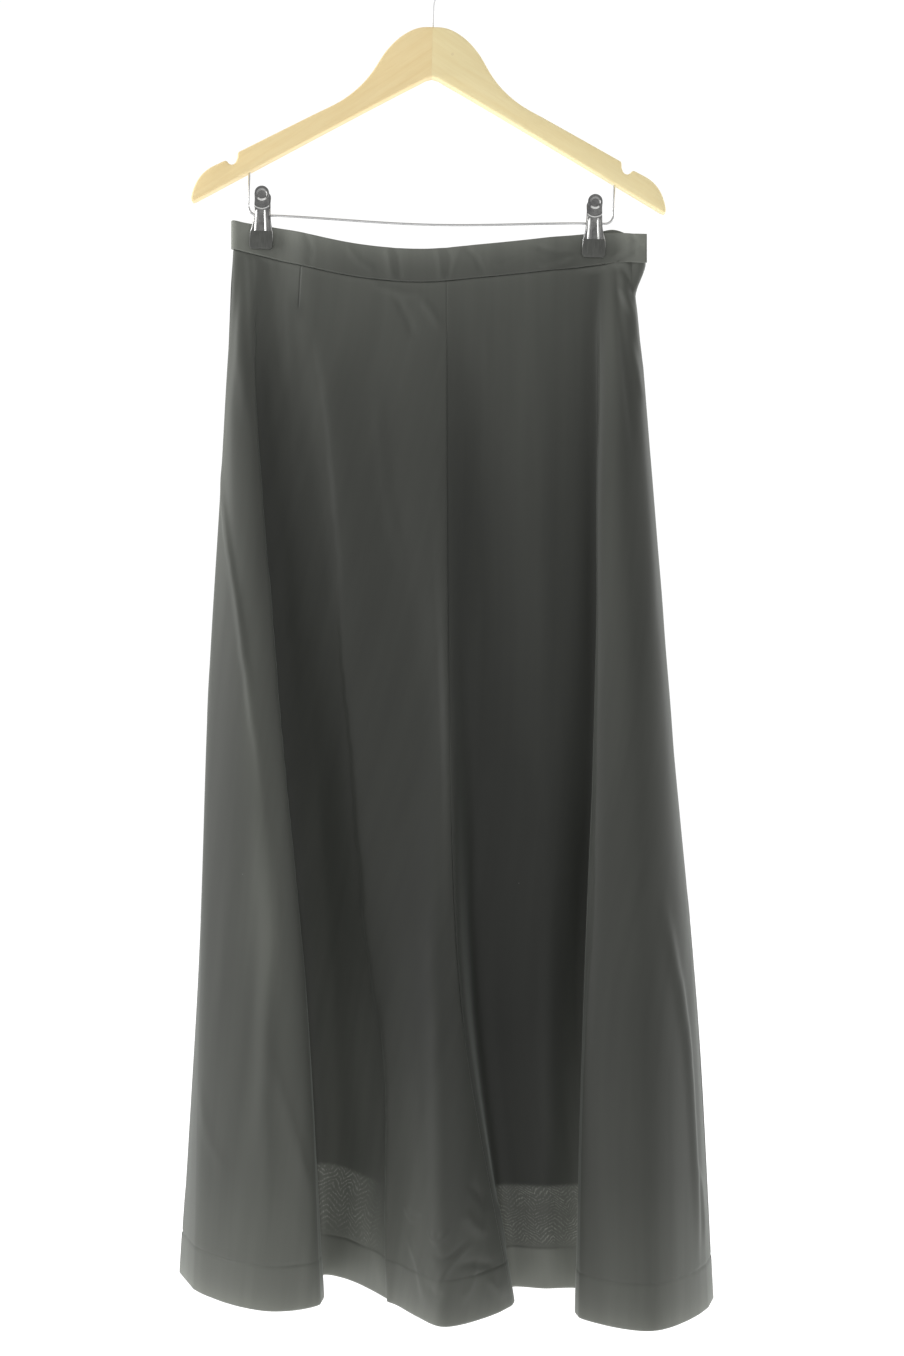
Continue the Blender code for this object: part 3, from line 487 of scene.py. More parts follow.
drape = {
    "tuck": ((0.0, -0.5), (0.8, -0.05), (2.0, 0.0)),  # rows under the band: mm down, mm out
    "tuckRight": (13.2, 0.6, 17.6, 0.6),  # places where the top row reaches up more
    "tuckRise": 4 * mm,
    "turnRows": (-3, -1.6, -0.8, 0, 0.8, 1.6, 3),  # mm from the turned-up edge
    "seamRows": ((0.12, -0.35), (0.4, -0.1), (1.1, 0.0), (2.3, 0.0)),  # mm from a seam, mm out
    "flarePlaces": (15.1, 0.8, 16.9, 0.8),
    "recesses": ((3.7, 0.6, 6.1, 0.9), (9.3, 0.8, 13.1, 0.5)),
    "swells": ((0.6, 0.040, 0.26), (0.22, 0.014, 0.11)), # mm high, reach across and down
    "swellFade": 40 * mm,  # no swells at the band
    "hemStep": 0.35, "hemDip": 0.7,  # mm, at the turned-up edge
    "liningFoot": 0.887,  # level of the lining's edge, seen through the cloth: below it the cloth is painted lighter
    "through": {  # painted light, for light coming through the cloth
        "recess": 0.40, "low": 0.10, "foot": 0.16, "hem": 0.55, "top": 0.34, "seam": 0.12,
        "turnUp": 0.05, "turnUpRecess": 0.32, "elsewhere": 0.79},
}


farFromDart = 99.0  # mm


def arcLengths(points):
    return runningSum(np.linalg.norm(np.diff(points, axis=1), axis=2))


def panelColumns(panel):
    # places spread along the cloth's width, closer where it is crumpled
    fine = np.linspace(panel["start"], panel["end"] - 1e-6, 1500)[None]
    length = arcLengths(clothPoints(fine, np.array([0.8])))[0]
    low, high, closer = panel["crumpled"]
    weight = 1 + (closer - 1) * ((fine[0] > low) & (fine[0] < high))
    length = np.concatenate(([0.0], np.cumsum(np.diff(length) * weight[1:])))
    even = np.linspace(0, length[-1], panel["columns"])[1:-1]
    return np.interp(even, length, fine[0])


def panelLevels(drop, line):
    # the rows' levels, how far each lies outward and how far it hangs lower: down the
    # outside, round the folded hem and up its inside
    even = readTable(((0.0, 0.0), (0.13, 0.09), (0.60, 0.86), (1.0, 1.0)),
                     np.linspace(0, 1, skirt["rows"]))
    even = even[(even * drop > 2.4 * mm) & (abs(even * drop - line) > 4 * mm)]
    tuckDown, tuckOut = np.array(drape["tuck"]).T * mm
    close = np.concatenate((tuckDown, line + np.array(drape["turnRows"]) * mm)) / drop
    outside = np.sort(np.concatenate((close, even)))
    turn = np.radians((45, 90, 135, 180))
    climb = np.linspace(0, skirt["hemTurn"], 9)[1:]
    level = np.concatenate((outside, np.ones(4), 1 - climb / drop))
    outer, inset, lower = len(outside), np.zeros(len(level)), np.zeros(len(level))
    inset[:3] = tuckOut
    inset[outer:outer + 4] = -skirt["hemRadius"] * (1 - np.cos(turn))
    inset[outer + 4:] = -2 * skirt["hemRadius"]
    lower[outer:outer + 4] = skirt["hemRadius"] * np.sin(turn)
    return level, inset[:, None], lower[:, None], outer


def seamPlaces(panel, level):
    # places a few tenths of a millimetre from the panel's two edges
    near = []
    for edge, inward in ((panel["start"], 1), (panel["end"], -1)):
        strip = edge + inward * np.linspace(1e-6, 0.2, 5) + np.zeros((len(level), 1))
        scale = 0.2 / arcLengths(clothPoints(strip, level))[:, -1]
        near.append(edge + inward * np.outer(scale, np.array(drape["seamRows"])[:, 0] * mm))
    return near[0], near[1][:, ::-1]


def paintedCreases(panel, u, v, places, level, drop):
    # the height of every crease at every point, measured on the flat cloth
    relief = np.zeros_like(u)
    for height, left, right, path in panel["creases"]:
        path = smoothRun(path, 10)
        pathRows = np.searchsorted(level, path[:, 1]).clip(0, len(level) - 1)
        pathU = np.array([np.interp(place, places[row], u[row])
                          for place, row in zip(path[:, 0], pathRows)])
        pathV = path[:, 1] * drop
        left, right = left * mm, right * mm
        reach = 2.6 * max(left, right)
        near = ((u > pathU.min() - reach) & (u < pathU.max() + reach)
                & (v > pathV.min() - reach) & (v < pathV.max() + reach))
        pointU, pointV = u[near][:, None], v[near][:, None]
        spanU, spanV = np.diff(pathU), np.diff(pathV)
        part = (pointU - pathU[:-1]) * spanU + (pointV - pathV[:-1]) * spanV
        part = np.clip(part / (spanU ** 2 + spanV ** 2 + 1e-12), 0, 1)
        offU = pointU - (pathU[:-1] + part * spanU)
        offV = pointV - (pathV[:-1] + part * spanV)
        away = np.hypot(offU, offV)
        pick = away.argmin(axis=1)
        rows = np.arange(len(pick))
        side = offU[rows, pick] * spanV[pick] - offV[rows, pick] * spanU[pick]
        along = (pick + part[rows, pick]) / len(spanU)
        fadeIn = 1.0 if path[0, 1] < 0.01 else ease(along / 0.3)
        fadeOut = 1.0 if path[-1, 1] > 0.99 else ease((1 - along) / 0.3)
        width = np.where(side > 0, right, left)
        relief[near] += height * mm * bell(away[rows, pick], 0, width) * fadeIn * fadeOut
    return relief


def softNoise(u, v, across, down, seed):
    # smooth random swells, the same each run
    table = np.random.default_rng(seed).uniform(-1, 1, (64, 64))
    x, y = u / across, v / down
    column, row = np.floor(x).astype(int), np.floor(y).astype(int)
    partX, partY = ease(x - column), ease(y - row)
    upper, lower = (table[(row + dy) % 64, column % 64] * (1 - partX)
                    + table[(row + dy) % 64, (column + 1) % 64] * partX for dy in (0, 1))
    return upper * (1 - partY) + lower * partY


def newObject(name, data):
    made = bpy.data.objects.new(name, data)
    bpy.context.scene.collection.objects.link(made)
    return made


def meshObject(name, work, material):
    mesh = bpy.data.meshes.new(name)
    work.to_mesh(mesh)
    work.free()
    mesh.materials.append(material)
    return newObject(name, mesh)


def addPiece(node, ending, work, material):
    piece = meshObject(node + ending, work, material)
    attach(piece, "root")
    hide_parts(node)
    return piece


def gridVerts(work, rows, columns, upward=1):
    # a flat grid's points, row by row
    bmesh.ops.create_grid(work, x_segments=columns - 1, y_segments=rows - 1, size=1)
    return sorted(work.verts, key=lambda vert: (round(upward * vert.co.y, 6), round(vert.co.x, 6)))


def clothPiece(node, points, uv, fields, material, ringed=False):
    # a grid moved onto worked-out points, closed round its edges where it is ringed
    work = bmesh.new()
    uvLayer = work.loops.layers.uv.new("clothFlat")
    layers = {key: work.verts.layers.float.new(key) for key in fields}
    verts = gridVerts(work, *points.shape[:2])
    coords, flat = points.reshape(-1, 3), uv.reshape(-1, 2)
    order = {}
    for number, vert in enumerate(verts):
        vert.co = coords[number]
        order[vert] = number
        for key, layer in layers.items():
            vert[layer] = fields[key].flat[number]
    for face in work.faces:
        for loop in face.loops:
            loop[uvLayer].uv = flat[order[loop.vert]]
        face.smooth = True
    if ringed:
        bmesh.ops.remove_doubles(work, verts=work.verts, dist=1e-6)
        ends = [edge for edge in work.edges if edge.is_boundary]
        bmesh.ops.holes_fill(work, edges=ends, sides=0)
    bmesh.ops.recalc_face_normals(work, faces=work.faces)
    return addPiece(node, "_cloth", work, material)


def panelRelief(panel, places, level, u, v, drop, line, outer):
    # mm that the cloth stands out: creases, flare, small swells and the drawn-in hem line
    relief = np.zeros_like(u)
    outside = (field[:outer] for field in (u, v, places, level))
    relief[:outer] = paintedCreases(panel, *outside, drop)
    relief *= ease(v / (6 * mm))
    flare = window(places, *drape["flarePlaces"])  # the side under the band's right end
    relief += flare * readTable(skirt["sideFlare"], level)[:, None] * mm
    for row in range(outer, len(level)):
        relief[row] = relief[np.abs(level[:outer] - level[row]).argmin()]
    seed, calm = panel["start"] + 3, ease(v / drape["swellFade"])
    for number, (high, across, down) in enumerate(drape["swells"]):
        relief += high * mm * softNoise(u, v, across, down, seed + number) * calm
    away = v - line + 0.7 * mm * softNoise(u, v, 0.021, 0.5, seed + 4)
    pulled = (0.55 + 0.45 * softNoise(u, v, 0.007, 0.5, seed + 2)
              + 0.4 * softNoise(u, v, 0.05, 0.5, seed + 5))
    hemLine = (drape["hemStep"] * ease(away / (3 * mm) + 0.5)
               - drape["hemDip"] * pulled * bell(away, 0, 1.5 * mm))
    relief[:outer] += hemLine[:outer] * mm
    return relief


def panelShades(name, panel, places, level, u, v, drop, line):
    # what the cloth's material reads: painted light for light through it with painted highlights
    # and shade, moiré ripples, mm to the dart
    inRecess = sum(window(places, *recess) for recess in drape["recesses"])
    lining = drape["liningFoot"] + 0.010 * ease((places - 4.4) / 6)
    below = ease((v - lining * drop) / (5 * mm))
    ripple = below * ease((line - v) / (8 * mm)) * inRecess
    through = drape["through"]
    # painted light: lighter in the recesses below the lining, low down, at the top, under the
    # band's seam, near and at the hem
    paintedLight = (panel["tone"] + through["recess"] * below * inRecess
             + through["low"] * ease((v - 0.70 * drop) / (0.25 * drop))
             + through["top"] * np.exp(-v / 0.11) + through["seam"] * np.exp(-v / (3 * mm))
             + through["foot"] * ease((v - 0.86 * drop) / (0.12 * drop))
             + through["hem"] * np.exp((v - drop) / (13 * mm)))
    turnUp = through["turnUp"] + through["turnUpRecess"] * inRecess
    paintedLight += turnUp * ease((v - line) / (2.5 * mm))
    # painted highlights where the amount is above 0, painted shade where it is below
    for amount, place, placeReach, height, levelReach in panel["paintedLightAndShade"]:
        paintedLight += amount * bell(places, place, placeReach) * bell(level[:, None], height, levelReach)
    paintedLight *= through["elsewhere"] + (1 - through["elsewhere"]) * inRecess * below
    dart = np.full_like(u, farFromDart)
    if "dart" in panel:
        first, last, tip = panel["dart"]
        seamPlace = first + (last - first) * np.clip(level / tip, 0, 1.6)
        seamU = [np.interp(place, row, run) for place, row, run in zip(seamPlace, places, u)]
        dart = (u - np.array(seamU)[:, None]) / mm
    return {"paintedLight": paintedLight, "ripple": -ripple if name == "front_right" else ripple, "dart": dart}


def buildPanel(name, panel, material):
    drop = skirt["waistZ"] - skirt["hemZ"]
    line = drop - skirt["hemTurn"]  # the turned-up edge shows through
    level, inset, lower, outer = panelLevels(drop, line)
    start, end = seamPlaces(panel, level)
    inner = panelColumns(panel)
    keep = inner[(inner > start[:, -1].max() + 0.01) & (inner < end[:, 0].min() - 0.01)]
    places = np.concatenate((start, np.tile(keep, (len(level), 1)), end), axis=1)
    base = clothPoints(places, level)
    u = arcLengths(base)
    v = np.repeat((level * drop)[:, None], places.shape[1], axis=1)
    relief = panelRelief(panel, places, level, u, v, drop, line, outer)
    lip = np.zeros(places.shape[1])
    lip[:4] = np.array(drape["seamRows"])[:, 1] * mm
    lip[-4:] = lip[3::-1]
    points = base + outward(places, level) * (relief + inset + lip)[..., None]
    points[..., 2] -= lower
    points[0, :, 2] += drape["tuckRise"] * window(places[0], *drape["tuckRight"])
    shades = panelShades(name, panel, places, level, u, v, drop, line)
    piece = clothPiece(name, points, np.stack((u, v), axis=-1), shades, material)
    wall = piece.modifiers.new("Wall", "SOLIDIFY")
    wall.thickness, wall.offset = skirt["wall"], 0.0
    print("panel", name, points.shape[:2], "relief", (relief / mm).min().round(1), "to",
          (relief / mm).max().round(1), "mm")


crepe = clothMaterial("dark crepe")
for panelName, panelFacts in panels.items():
    buildPanel(panelName, panelFacts, crepe)

# Waistband: two strips, each folded over at the top

band = {
    "width": 31 * mm, "endWidth": 27 * mm, "rollFrom": 130 * mm, "rollReach": 60 * mm,
    "rightEnd": 199 * mm, "backEnd": 184 * mm, "leftTurn": -186 * mm, "turnReach": 5 * mm,
    "half": 1.15 * mm, "step": 2.0 * mm, "seamHalves": (1.0 * mm, 0.15 * mm),
    "lift": 4 * mm, "liftAt": 168 * mm, "liftReach": 24 * mm,
    "calmFrom": 15 * mm, "calmReach": 8 * mm,  # no creases in the clips
    "paintedLightAndShade": (0.30, 0.22, 0.42),  # painted light: all over, at the ends, the top
    "paintedLightSpots": ((0.40, -190 * mm, 18 * mm), (0.25, 197 * mm, 14 * mm)),
    "creases": (  # height in mm, reach in mm, path as (across in mm, share of the width)
        (1.0, 3.0, ((-44, 0.85), (-42, 0.5), (-41, 0.2))),
        (-1.0, 3.0, ((-37, 0.9), (-35, 0.5), (-34, 0.15))),
        (0.8, 2.5, ((3, 0.9), (5, 0.5), (6, 0.1))),
        (-0.8, 3.0, ((11, 0.95), (14, 0.55), (12, 0.2))),
        (0.8, 2.5, ((22, 0.8), (18, 0.45), (14, 0.1))),
        (-1.2, 2.5, ((98, 0.7), (115, 0.52), (132, 0.46))),
        (1.2, 2.5, ((100, 0.2), (118, 0.30), (134, 0.50))),
        (-1.0, 2.4, ((112, 0.05), (128, 0.20), (146, 0.28))),
        (0.8, 2.5, ((-150, 0.9), (-146, 0.5), (-147, 0.1))),
        (-0.8, 3.4, ((-120, 0.9), (-116, 0.5), (-118, 0.15))),
        (0.7, 3.4, ((-80, 0.8), (-72, 0.5), (-60, 0.3))),
        (-0.8, 2.5, ((30, 0.9), (38, 0.6), (44, 0.2))),
        (0.7, 3.0, ((60, 0.3), (74, 0.45), (88, 0.7))),
        (1.4, 2.5, ((168, 0.15), (176, 0.35), (186, 0.70))),
        (-1.5, 2.4, ((172, 0.05), (182, 0.25), (194, 0.55))),
        (-1.0, 2.4, ((186, 0.95), (188, 0.60), (187, 0.30))),
    ),
}


def bandPath(front):
    # from the right end of the front strip to the left seam, or on to the back's right end
    end = band["rightEnd"] if front else band["backEnd"]
    start, reach = band["leftTurn"], band["turnReach"]
    run = np.linspace(end, start, round((end - start) / band["step"]))
    angle = np.linspace(0, math.pi / 2, 7)[1:-1]
    across = np.concatenate((run, start - reach * np.sin(angle), [start - reach] * 2))
    depth = np.concatenate((bandGap(run), bandGap(np.array(start)) * np.cos(angle),
                            np.array(band["seamHalves"])))
    path = np.stack((across, -depth if front else depth), axis=1)
    return path if front else path[::-1]


def bandCreases(across, share, width):
    relief = np.zeros_like(across)
    for height, reach, path in band["creases"]:
        x, part = smoothRun(path, 8).T[..., None]
        away = np.hypot(across - x * mm, (share - part) * width).min(axis=0)
        relief += height * mm * bell(away, 0, reach * mm)
    return relief


def buildBand(name, front, material):
    path = bandPath(front)
    along = arcLengths(path[None])[0]
    tangent = np.gradient(path, along, axis=0)
    tangent /= np.linalg.norm(tangent, axis=1, keepdims=True)
    side = np.stack((-tangent[:, 1], tangent[:, 0]), axis=1)  # outward in plan
    across, half = path[:, 0], band["half"]
    rolled = ease((abs(across) - band["rollFrom"]) / band["rollReach"])
    width = band["width"] + (band["endWidth"] - band["width"]) * rolled
    if not front:
        width = width + band["lift"] * ease(1 - abs(across - band["liftAt"]) / band["liftReach"])
    away = np.min([abs(across - place) for place in skirt["clips"]], axis=0)
    calm = ease((away - band["calmFrom"]) / band["calmReach"])

    # the section: share of the width, then half thicknesses outward and up
    outerShare = np.concatenate(([0.0, 0.012], np.linspace(0.04, 0.955, 12)))
    profile = [(share, 1.0 - 0.5 * (share == 0.0), 0.0) for share in outerShare]
    profile += [(0.963, math.cos(angle), math.sin(angle))
                for angle in np.radians(np.linspace(0, 180, 7))]
    profile += [(share, -(1.0 - 0.5 * (share == 0.0)), 0.0) for share in outerShare[::-2]]
    profile += [(0.0, -0.5, 0.0), profile[0]]
    rows = []
    for share, out, up in profile:
        creased = bandCreases(across, share, width) if front and out > 0 else 0.0
        offset = out * half + creased * calm
        height = bandSeamZ(across) + share * width + up * half
        rows.append(np.stack((across + side[:, 0] * offset, path[:, 1] + side[:, 1] * offset,
                              height), axis=1))
    points = np.stack(rows)
    shares = np.array([entry[0] for entry in profile])[:, None]
    uv = np.stack(np.broadcast_arrays(along[None, :], shares * band["width"]), axis=-1)
    none = np.zeros(points.shape[:2])
    base, ends, top = band["paintedLightAndShade"]
    # painted light on the band: lighter at its ends and toward its top
    paintedLightAndShade = base + ends * ease((abs(across - 0.02) - 0.09) / 0.10) + top * shares ** 2
    for amount, place, reach in band["paintedLightSpots"]:
        paintedLightAndShade = paintedLightAndShade + amount * bell(across, place, reach)
    piece = clothPiece(name, points, uv, {"paintedLight": none + paintedLightAndShade, "ripple": none,
                                          "dart": none + farFromDart}, material, ringed=True)
    print("band", name, points.shape[:2])


buildBand("waistband_front", True, crepe)
buildBand("waistband_back", False, crepe)

# Hanger, in mm before it is tilted

hanger = {
    "woodTop": -75.0, "woodThick": 12.0, "woodRound": 1.8,
    "wire": 3.5, "hookRadius": 21.0, "hookBend": math.radians(60), "hookEnd": math.radians(205),
    "shankFoot": -99.0,
    "barWire": 2.3, "barHalf": 172.0, "barShift": 2.5, "barZ": -255.0, "barSag": 5.0,
    "barCorner": 8.0, "barFoot": -209.0,
    "knot": (0.0165, -0.006, -0.1010), "knotRadius": 1.4 * mm,  # in metres
    "topCurve": ((0, 0), (14, 1.2), (29, 9), (43, 23), (57, 45), (68, 58), (84, 71), (110, 85)),
    "notch": ((145, 103.5), (179.4, 121.8), (180.5, 123.0), (180.9, 128.0), (182.3, 131.8),
              (184.2, 133.6), (186.4, 134.1), (188.6, 133.2), (190.2, 131.4), (191.4, 130.5),
              (193.5, 130.9)),
    "tip": ((198.5, 133.4), (206, 137.3), (212.6, 142.6), (217.6, 149.2), (221.4, 157.6),
            (223.3, 165.0), (223.3, 168.0), (222.0, 169.6)),
    "under": ((219.0, 168.5), (200, 157.8), (110, 106.8), (60, 78.7), (28, 61), (14, 53.5),
              (6, 48.9)),
    "apex": (0, 47.2),
}
tilted = Matrix.Rotation(skirt["tilt"], 4, "Y") @ Matrix.Scale(mm, 4)


def woodMaterial(name, pale, dark, turn):
    material, shader, wood = newMaterial(name, Roughness=0.42, Coat_Weight=0.2,
                                         Coat_Roughness=0.3)
    body = objectPlace(wood)
    lengthwise = placed(wood, body, turn=(0, turn, 0))
    grain = noise(wood, placed(wood, lengthwise, (9, 90, 150)), 1.0, 4.0, 0.6, 0.8)
    fibre = noise(wood, placed(wood, lengthwise, (26, 300, 420)), 1.0)
    pores = noise(wood, placed(wood, lengthwise, (70, 400, 640)), 1.0, 1.0)
    shade = 0.6 * grain + 0.25 * fibre + 0.15 * pores
    fromKnot = wood.make("ShaderNodeVectorMath", {"operation": "DISTANCE"},
                         {0: body, 1: hanger["knot"]}, 1)
    knot = 1 - (fromKnot > hanger["knotRadius"])
    grained = ramp(wood, shade, (0.32, dark), (0.60, pale))
    feed(mixColors(wood, knot * 0.22, grained, (0.60, 0.42, 0.22)), shader, "Base Color")
    feed(0.38 + grain * 0.12, shader, "Roughness")
    feed(bump(wood, fibre, 0.00006, 0.3), shader, "Normal")
    return material


def arc(centre, radius, start, end, count):
    angles = np.linspace(start, end, count)
    return np.stack((centre[0] + radius * np.cos(angles), 0 * angles,
                     centre[1] + radius * np.sin(angles)), axis=1)


def curveWork(points, radii, closed=False, **settings):
    # the mesh that a curve makes of the points
    curve = bpy.data.curves.new("outline", "CURVE")
    for key, value in settings.items():
        setattr(curve, key, value)
    spline = curve.splines.new("POLY")
    spline.points.add(len(points) - 1)
    spline.use_cyclic_u = closed
    for point, place, radius in zip(spline.points, points, radii):
        point.co, point.radius = (*place, 1), radius
    maker = bpy.data.objects.new("outline", curve)
    work = bmesh.new()
    work.from_mesh(maker.to_mesh())
    maker.to_mesh_clear()
    bpy.data.objects.remove(maker)
    return work


def finishWork(work, place, sharp=None):
    # into the frame, with smooth faces and sharp edges past the given degrees
    bmesh.ops.transform(work, matrix=place, verts=work.verts)
    bmesh.ops.recalc_face_normals(work, faces=work.faces)
    for face in work.faces:
        face.smooth = True
    if sharp:
        for edge in work.edges:
            edge.smooth = edge.calc_face_angle(0) < math.radians(sharp)


def wirePiece(node, points, width, material, place, sides):
    # a round wire through the points, its two ends rounded off
    points = np.array(points, float)
    angles = np.radians((8, 30, 55, 80))
    back = width / 2 * (1 - np.cos(angles))[:, None]
    ends = [tip + (inner - tip) / np.linalg.norm(inner - tip) * back
            for tip, inner in ((points[0], points[1]), (points[-1], points[-2]))]
    run = np.concatenate((ends[0], points[1:-1], ends[1][::-1]))
    radii = np.concatenate((np.sin(angles), np.ones(len(points) - 2), np.sin(angles[::-1])))
    work = curveWork(run, radii, dimensions="3D", bevel_depth=width / 2,
                     bevel_resolution=sides // 2 - 1, use_fill_caps=True)
    finishWork(work, place)
    addPiece(node, "_wire", work, material)


def woodOutline():
    # across and down in mm from the top of the wood, the right half then the left
    across, down = hanger["topCurve"][1]
    top = smoothRun([(-across, down), *hanger["topCurve"]], 6)[6:]
    half = np.concatenate((top, hanger["notch"], smoothRun(hanger["tip"], 4), hanger["under"]))
    return np.concatenate((half, [hanger["apex"]], half[:0:-1] * (-1, 1)))


def woodHalf(node, side, material):
    # one board, rounded all round, then cut at the glue line
    outline = [(across, hanger["woodTop"] - down, 0) for across, down in woodOutline()]
    rim = hanger["woodRound"]
    work = curveWork(outline, [1.0] * len(outline), True, dimensions="2D", fill_mode="BOTH",
                     bevel_depth=rim, bevel_resolution=3, offset=-rim,
                     extrude=hanger["woodThick"] / 2 - rim)
    bmesh.ops.transform(work, matrix=Matrix.Rotation(math.pi / 2, 4, "X"), verts=work.verts)
    bmesh.ops.remove_doubles(work, verts=work.verts, dist=0.002)
    bmesh.ops.bisect_plane(work, geom=work.verts[:] + work.edges[:] + work.faces[:], dist=0.001,
                           plane_co=(side * 0.02, 0, 0), plane_no=(side, 0, 0), clear_inner=True)
    bmesh.ops.holes_fill(work, edges=[edge for edge in work.edges if edge.is_boundary], sides=0)
    finishWork(work, tilted, 35)
    addPiece(node, "_finished", work, material)


def hookPoints():
    radius, bend = hanger["hookRadius"], hanger["hookBend"]
    middle = (0.0, hanger["wire"] / 2 - radius)
    bendZ = middle[1] - 2 * radius * math.sin(bend)
    lower = arc((radius, bendZ), radius, math.pi, math.pi - bend, 14)
    loop = arc(middle, radius, -bend, hanger["hookEnd"], 54)
    return np.concatenate(([(0, 0, hanger["shankFoot"])], lower, loop[1:]))


barReach = hanger["barHalf"] - hanger["barCorner"]  # half the bar between its corners


def barHeight(across):
    part = (barReach - across + hanger["barShift"]) / (2 * barReach)
    return hanger["barZ"] - hanger["barSag"] * np.sin(math.pi * part) ** 2


def barPoints():
    radius = hanger["barCorner"]
    corner = arc((barReach, hanger["barZ"] + radius), radius, 0, -math.pi / 2, 10)
    right = np.concatenate(([(hanger["barHalf"], 0, hanger["barFoot"])], corner))
    across = np.linspace(barReach, -barReach, 42)[1:-1]
    run = np.stack((across, 0 * across, barHeight(across + hanger["barShift"])), axis=1)
    return np.concatenate((right, run, right[::-1] * (-1, 1, 1))) + (hanger["barShift"], 0, 0)


def chromeMaterial(name, low, high, change, metal, rough):
    # its brightness goes from low to high between two heights
    material, shader, wire = newMaterial(name, Metallic=1.0)
    place = objectPlace(wire)
    share = rising(wire, alongAxis(wire, place, "Z"), *change)
    feed(mixColors(wire, share, (low,) * 3, (high,) * 3), shader, "Base Color")
    feed(1 - (1 - share) * (1 - metal), shader, "Metallic")
    smear = noise(wire, placed(wire, place, (90, 90, 400)), 1.0, 3.0)
    feed(rough - 0.06 + smear * 0.12, shader, "Roughness")
    feed(bump(wire, smear, 0.00006, 0.3), shader, "Normal")
    return material


woods = {
    "hanger_left_half": (-1, "warm beech", (0.88, 0.71, 0.39), (0.83, 0.64, 0.32), 0.576),
    "hanger_right_half": (1, "pale beech", (0.90, 0.77, 0.44), (0.85, 0.70, 0.37), -0.576),
}
for woodNode, (woodSide, *woodLook) in woods.items():
    woodHalf(woodNode, woodSide, woodMaterial(*woodLook))
# painted highlight: the hook is painted near white and less metallic below the lower height, on the
# shank just above the wood
chrome = chromeMaterial("hook wire with painted shine", 0.95, 0.50, (-0.050, -0.036), 0.3, 0.34)
barChrome = chromeMaterial("grey bar wire", 0.58, 0.74, (-0.255, -0.235), 1.0, 0.24)
wirePiece("hook", hookPoints(), hanger["wire"], chrome, tilted, 16)
wirePiece("clip_bar", barPoints(), hanger["barWire"], barChrome, tilted, 12)
print("hanger: two halves, hook and bar")


# Clips: stamped plates that lean apart, a coil spring round the bar, coated jaws

clip = {  # in mm from the bar
    "half": 156.5, "steel": 0.9, "ears": {"front": 6.3, "back": 4.9}, "earRadius": 3.6,
    "earThick": 1.0, "legGap": 1.6,
    "widths": ((-31.5, 9.2), (-28.5, 11.1), (-22.0, 11.0), (-16.5, 10.6), (-13.0, 9.7),
               (-8.0, 8.3), (-4.0, 7.6), (0.0, 7.3), (8.0, 6.9), (14.0, 6.6), (18.5, 6.9)),
    "spread": ((-31.5, 5.2), (-15.5, 5.2), (0.0, 6.5), (25.4, 11.0)),  # from the middle plane
    "headZ": 18.5, "headRadius": 6.9, "pivot": 6.5, "columns": 61,
    "dish": 5.2, "crown": 6.2, "shoulder": 10.6,  # radii of the head's stamping
    "crescent": 5.3, "shine": 10.8,  # radii of painted highlights on its plating
    "ribs": (-3.9, 4.1), "ribHalf": 1.6, "ribLean": 0.016,
    "spring": {"wire": 0.9, "radius": 2.3, "turns": 3.5, "pitch": 1.2, "legZ": 11.0},
    "cover": {"heights": (-16.0, -33.0), "halves": (10.0, 11.1), "grip": 5.2, "thick": 4.0,
              "round": 0.7},
}


def plateRelief(x, z, half):
    # the stamping in mm out of the plate, and the painted highlights on its plating
    headZ = clip["headZ"]
    r, arch = np.hypot(x, z - headZ), np.hypot(x, z - headZ + 2.0)
    under = ease((12 - z) / 2)
    crown = ease((r - clip["crown"]) / 0.7) * ease((z - headZ + 4.5) / 3)
    relief = -ease((z - 10.5) / 1.5) * (0.9 * ease((clip["dish"] - r) / 1.1) + 0.25 * crown)
    relief += 0.12 * bell(arch, clip["shoulder"], 0.7) * under
    paintedShine = -0.2 * ease((z - 3.0) / 1.5)  # darker about the head
    # painted highlights: a crescent low in the dish, a thin arch under the head, the left sides of
    # the ribs and the lower edges
    paintedShine += 1.3 * bell(r, clip["crescent"], 0.6) * ease((headZ - 3.0 - z) / 1.4)
    paintedShine += bell(arch, clip["shine"], 0.35) * under
    body = ease((4.0 - z) / 1.2) * ease((z + 19.0) / 2.0)
    lean = 1 + clip["ribLean"] * np.maximum(0, -z)  # the ribs stand a little apart below
    for rib in clip["ribs"]:
        off = 1.3 - abs(x - rib * lean) / clip["ribHalf"]
        relief += body * 0.9 * ease(off / 0.8)
        paintedShine += body * 0.85 * ease(off / 0.3) * ease((rib * lean + 0.4 - x) / 0.8)
    edge = ease((abs(x) - half + 0.9) / 0.8) * ease((9 - z) / 3)
    paintedShine += edge * 0.7 * ease((-9 - z) / 4)
    return relief - edge * 0.5, np.clip(paintedShine, -1, 1)


def clipPlace(side, turn):
    across = clip["half"] * side
    return (tilted @ Matrix.Translation((across, 0, barHeight(across)))
            @ Matrix.Rotation(turn, 4, "Z"))


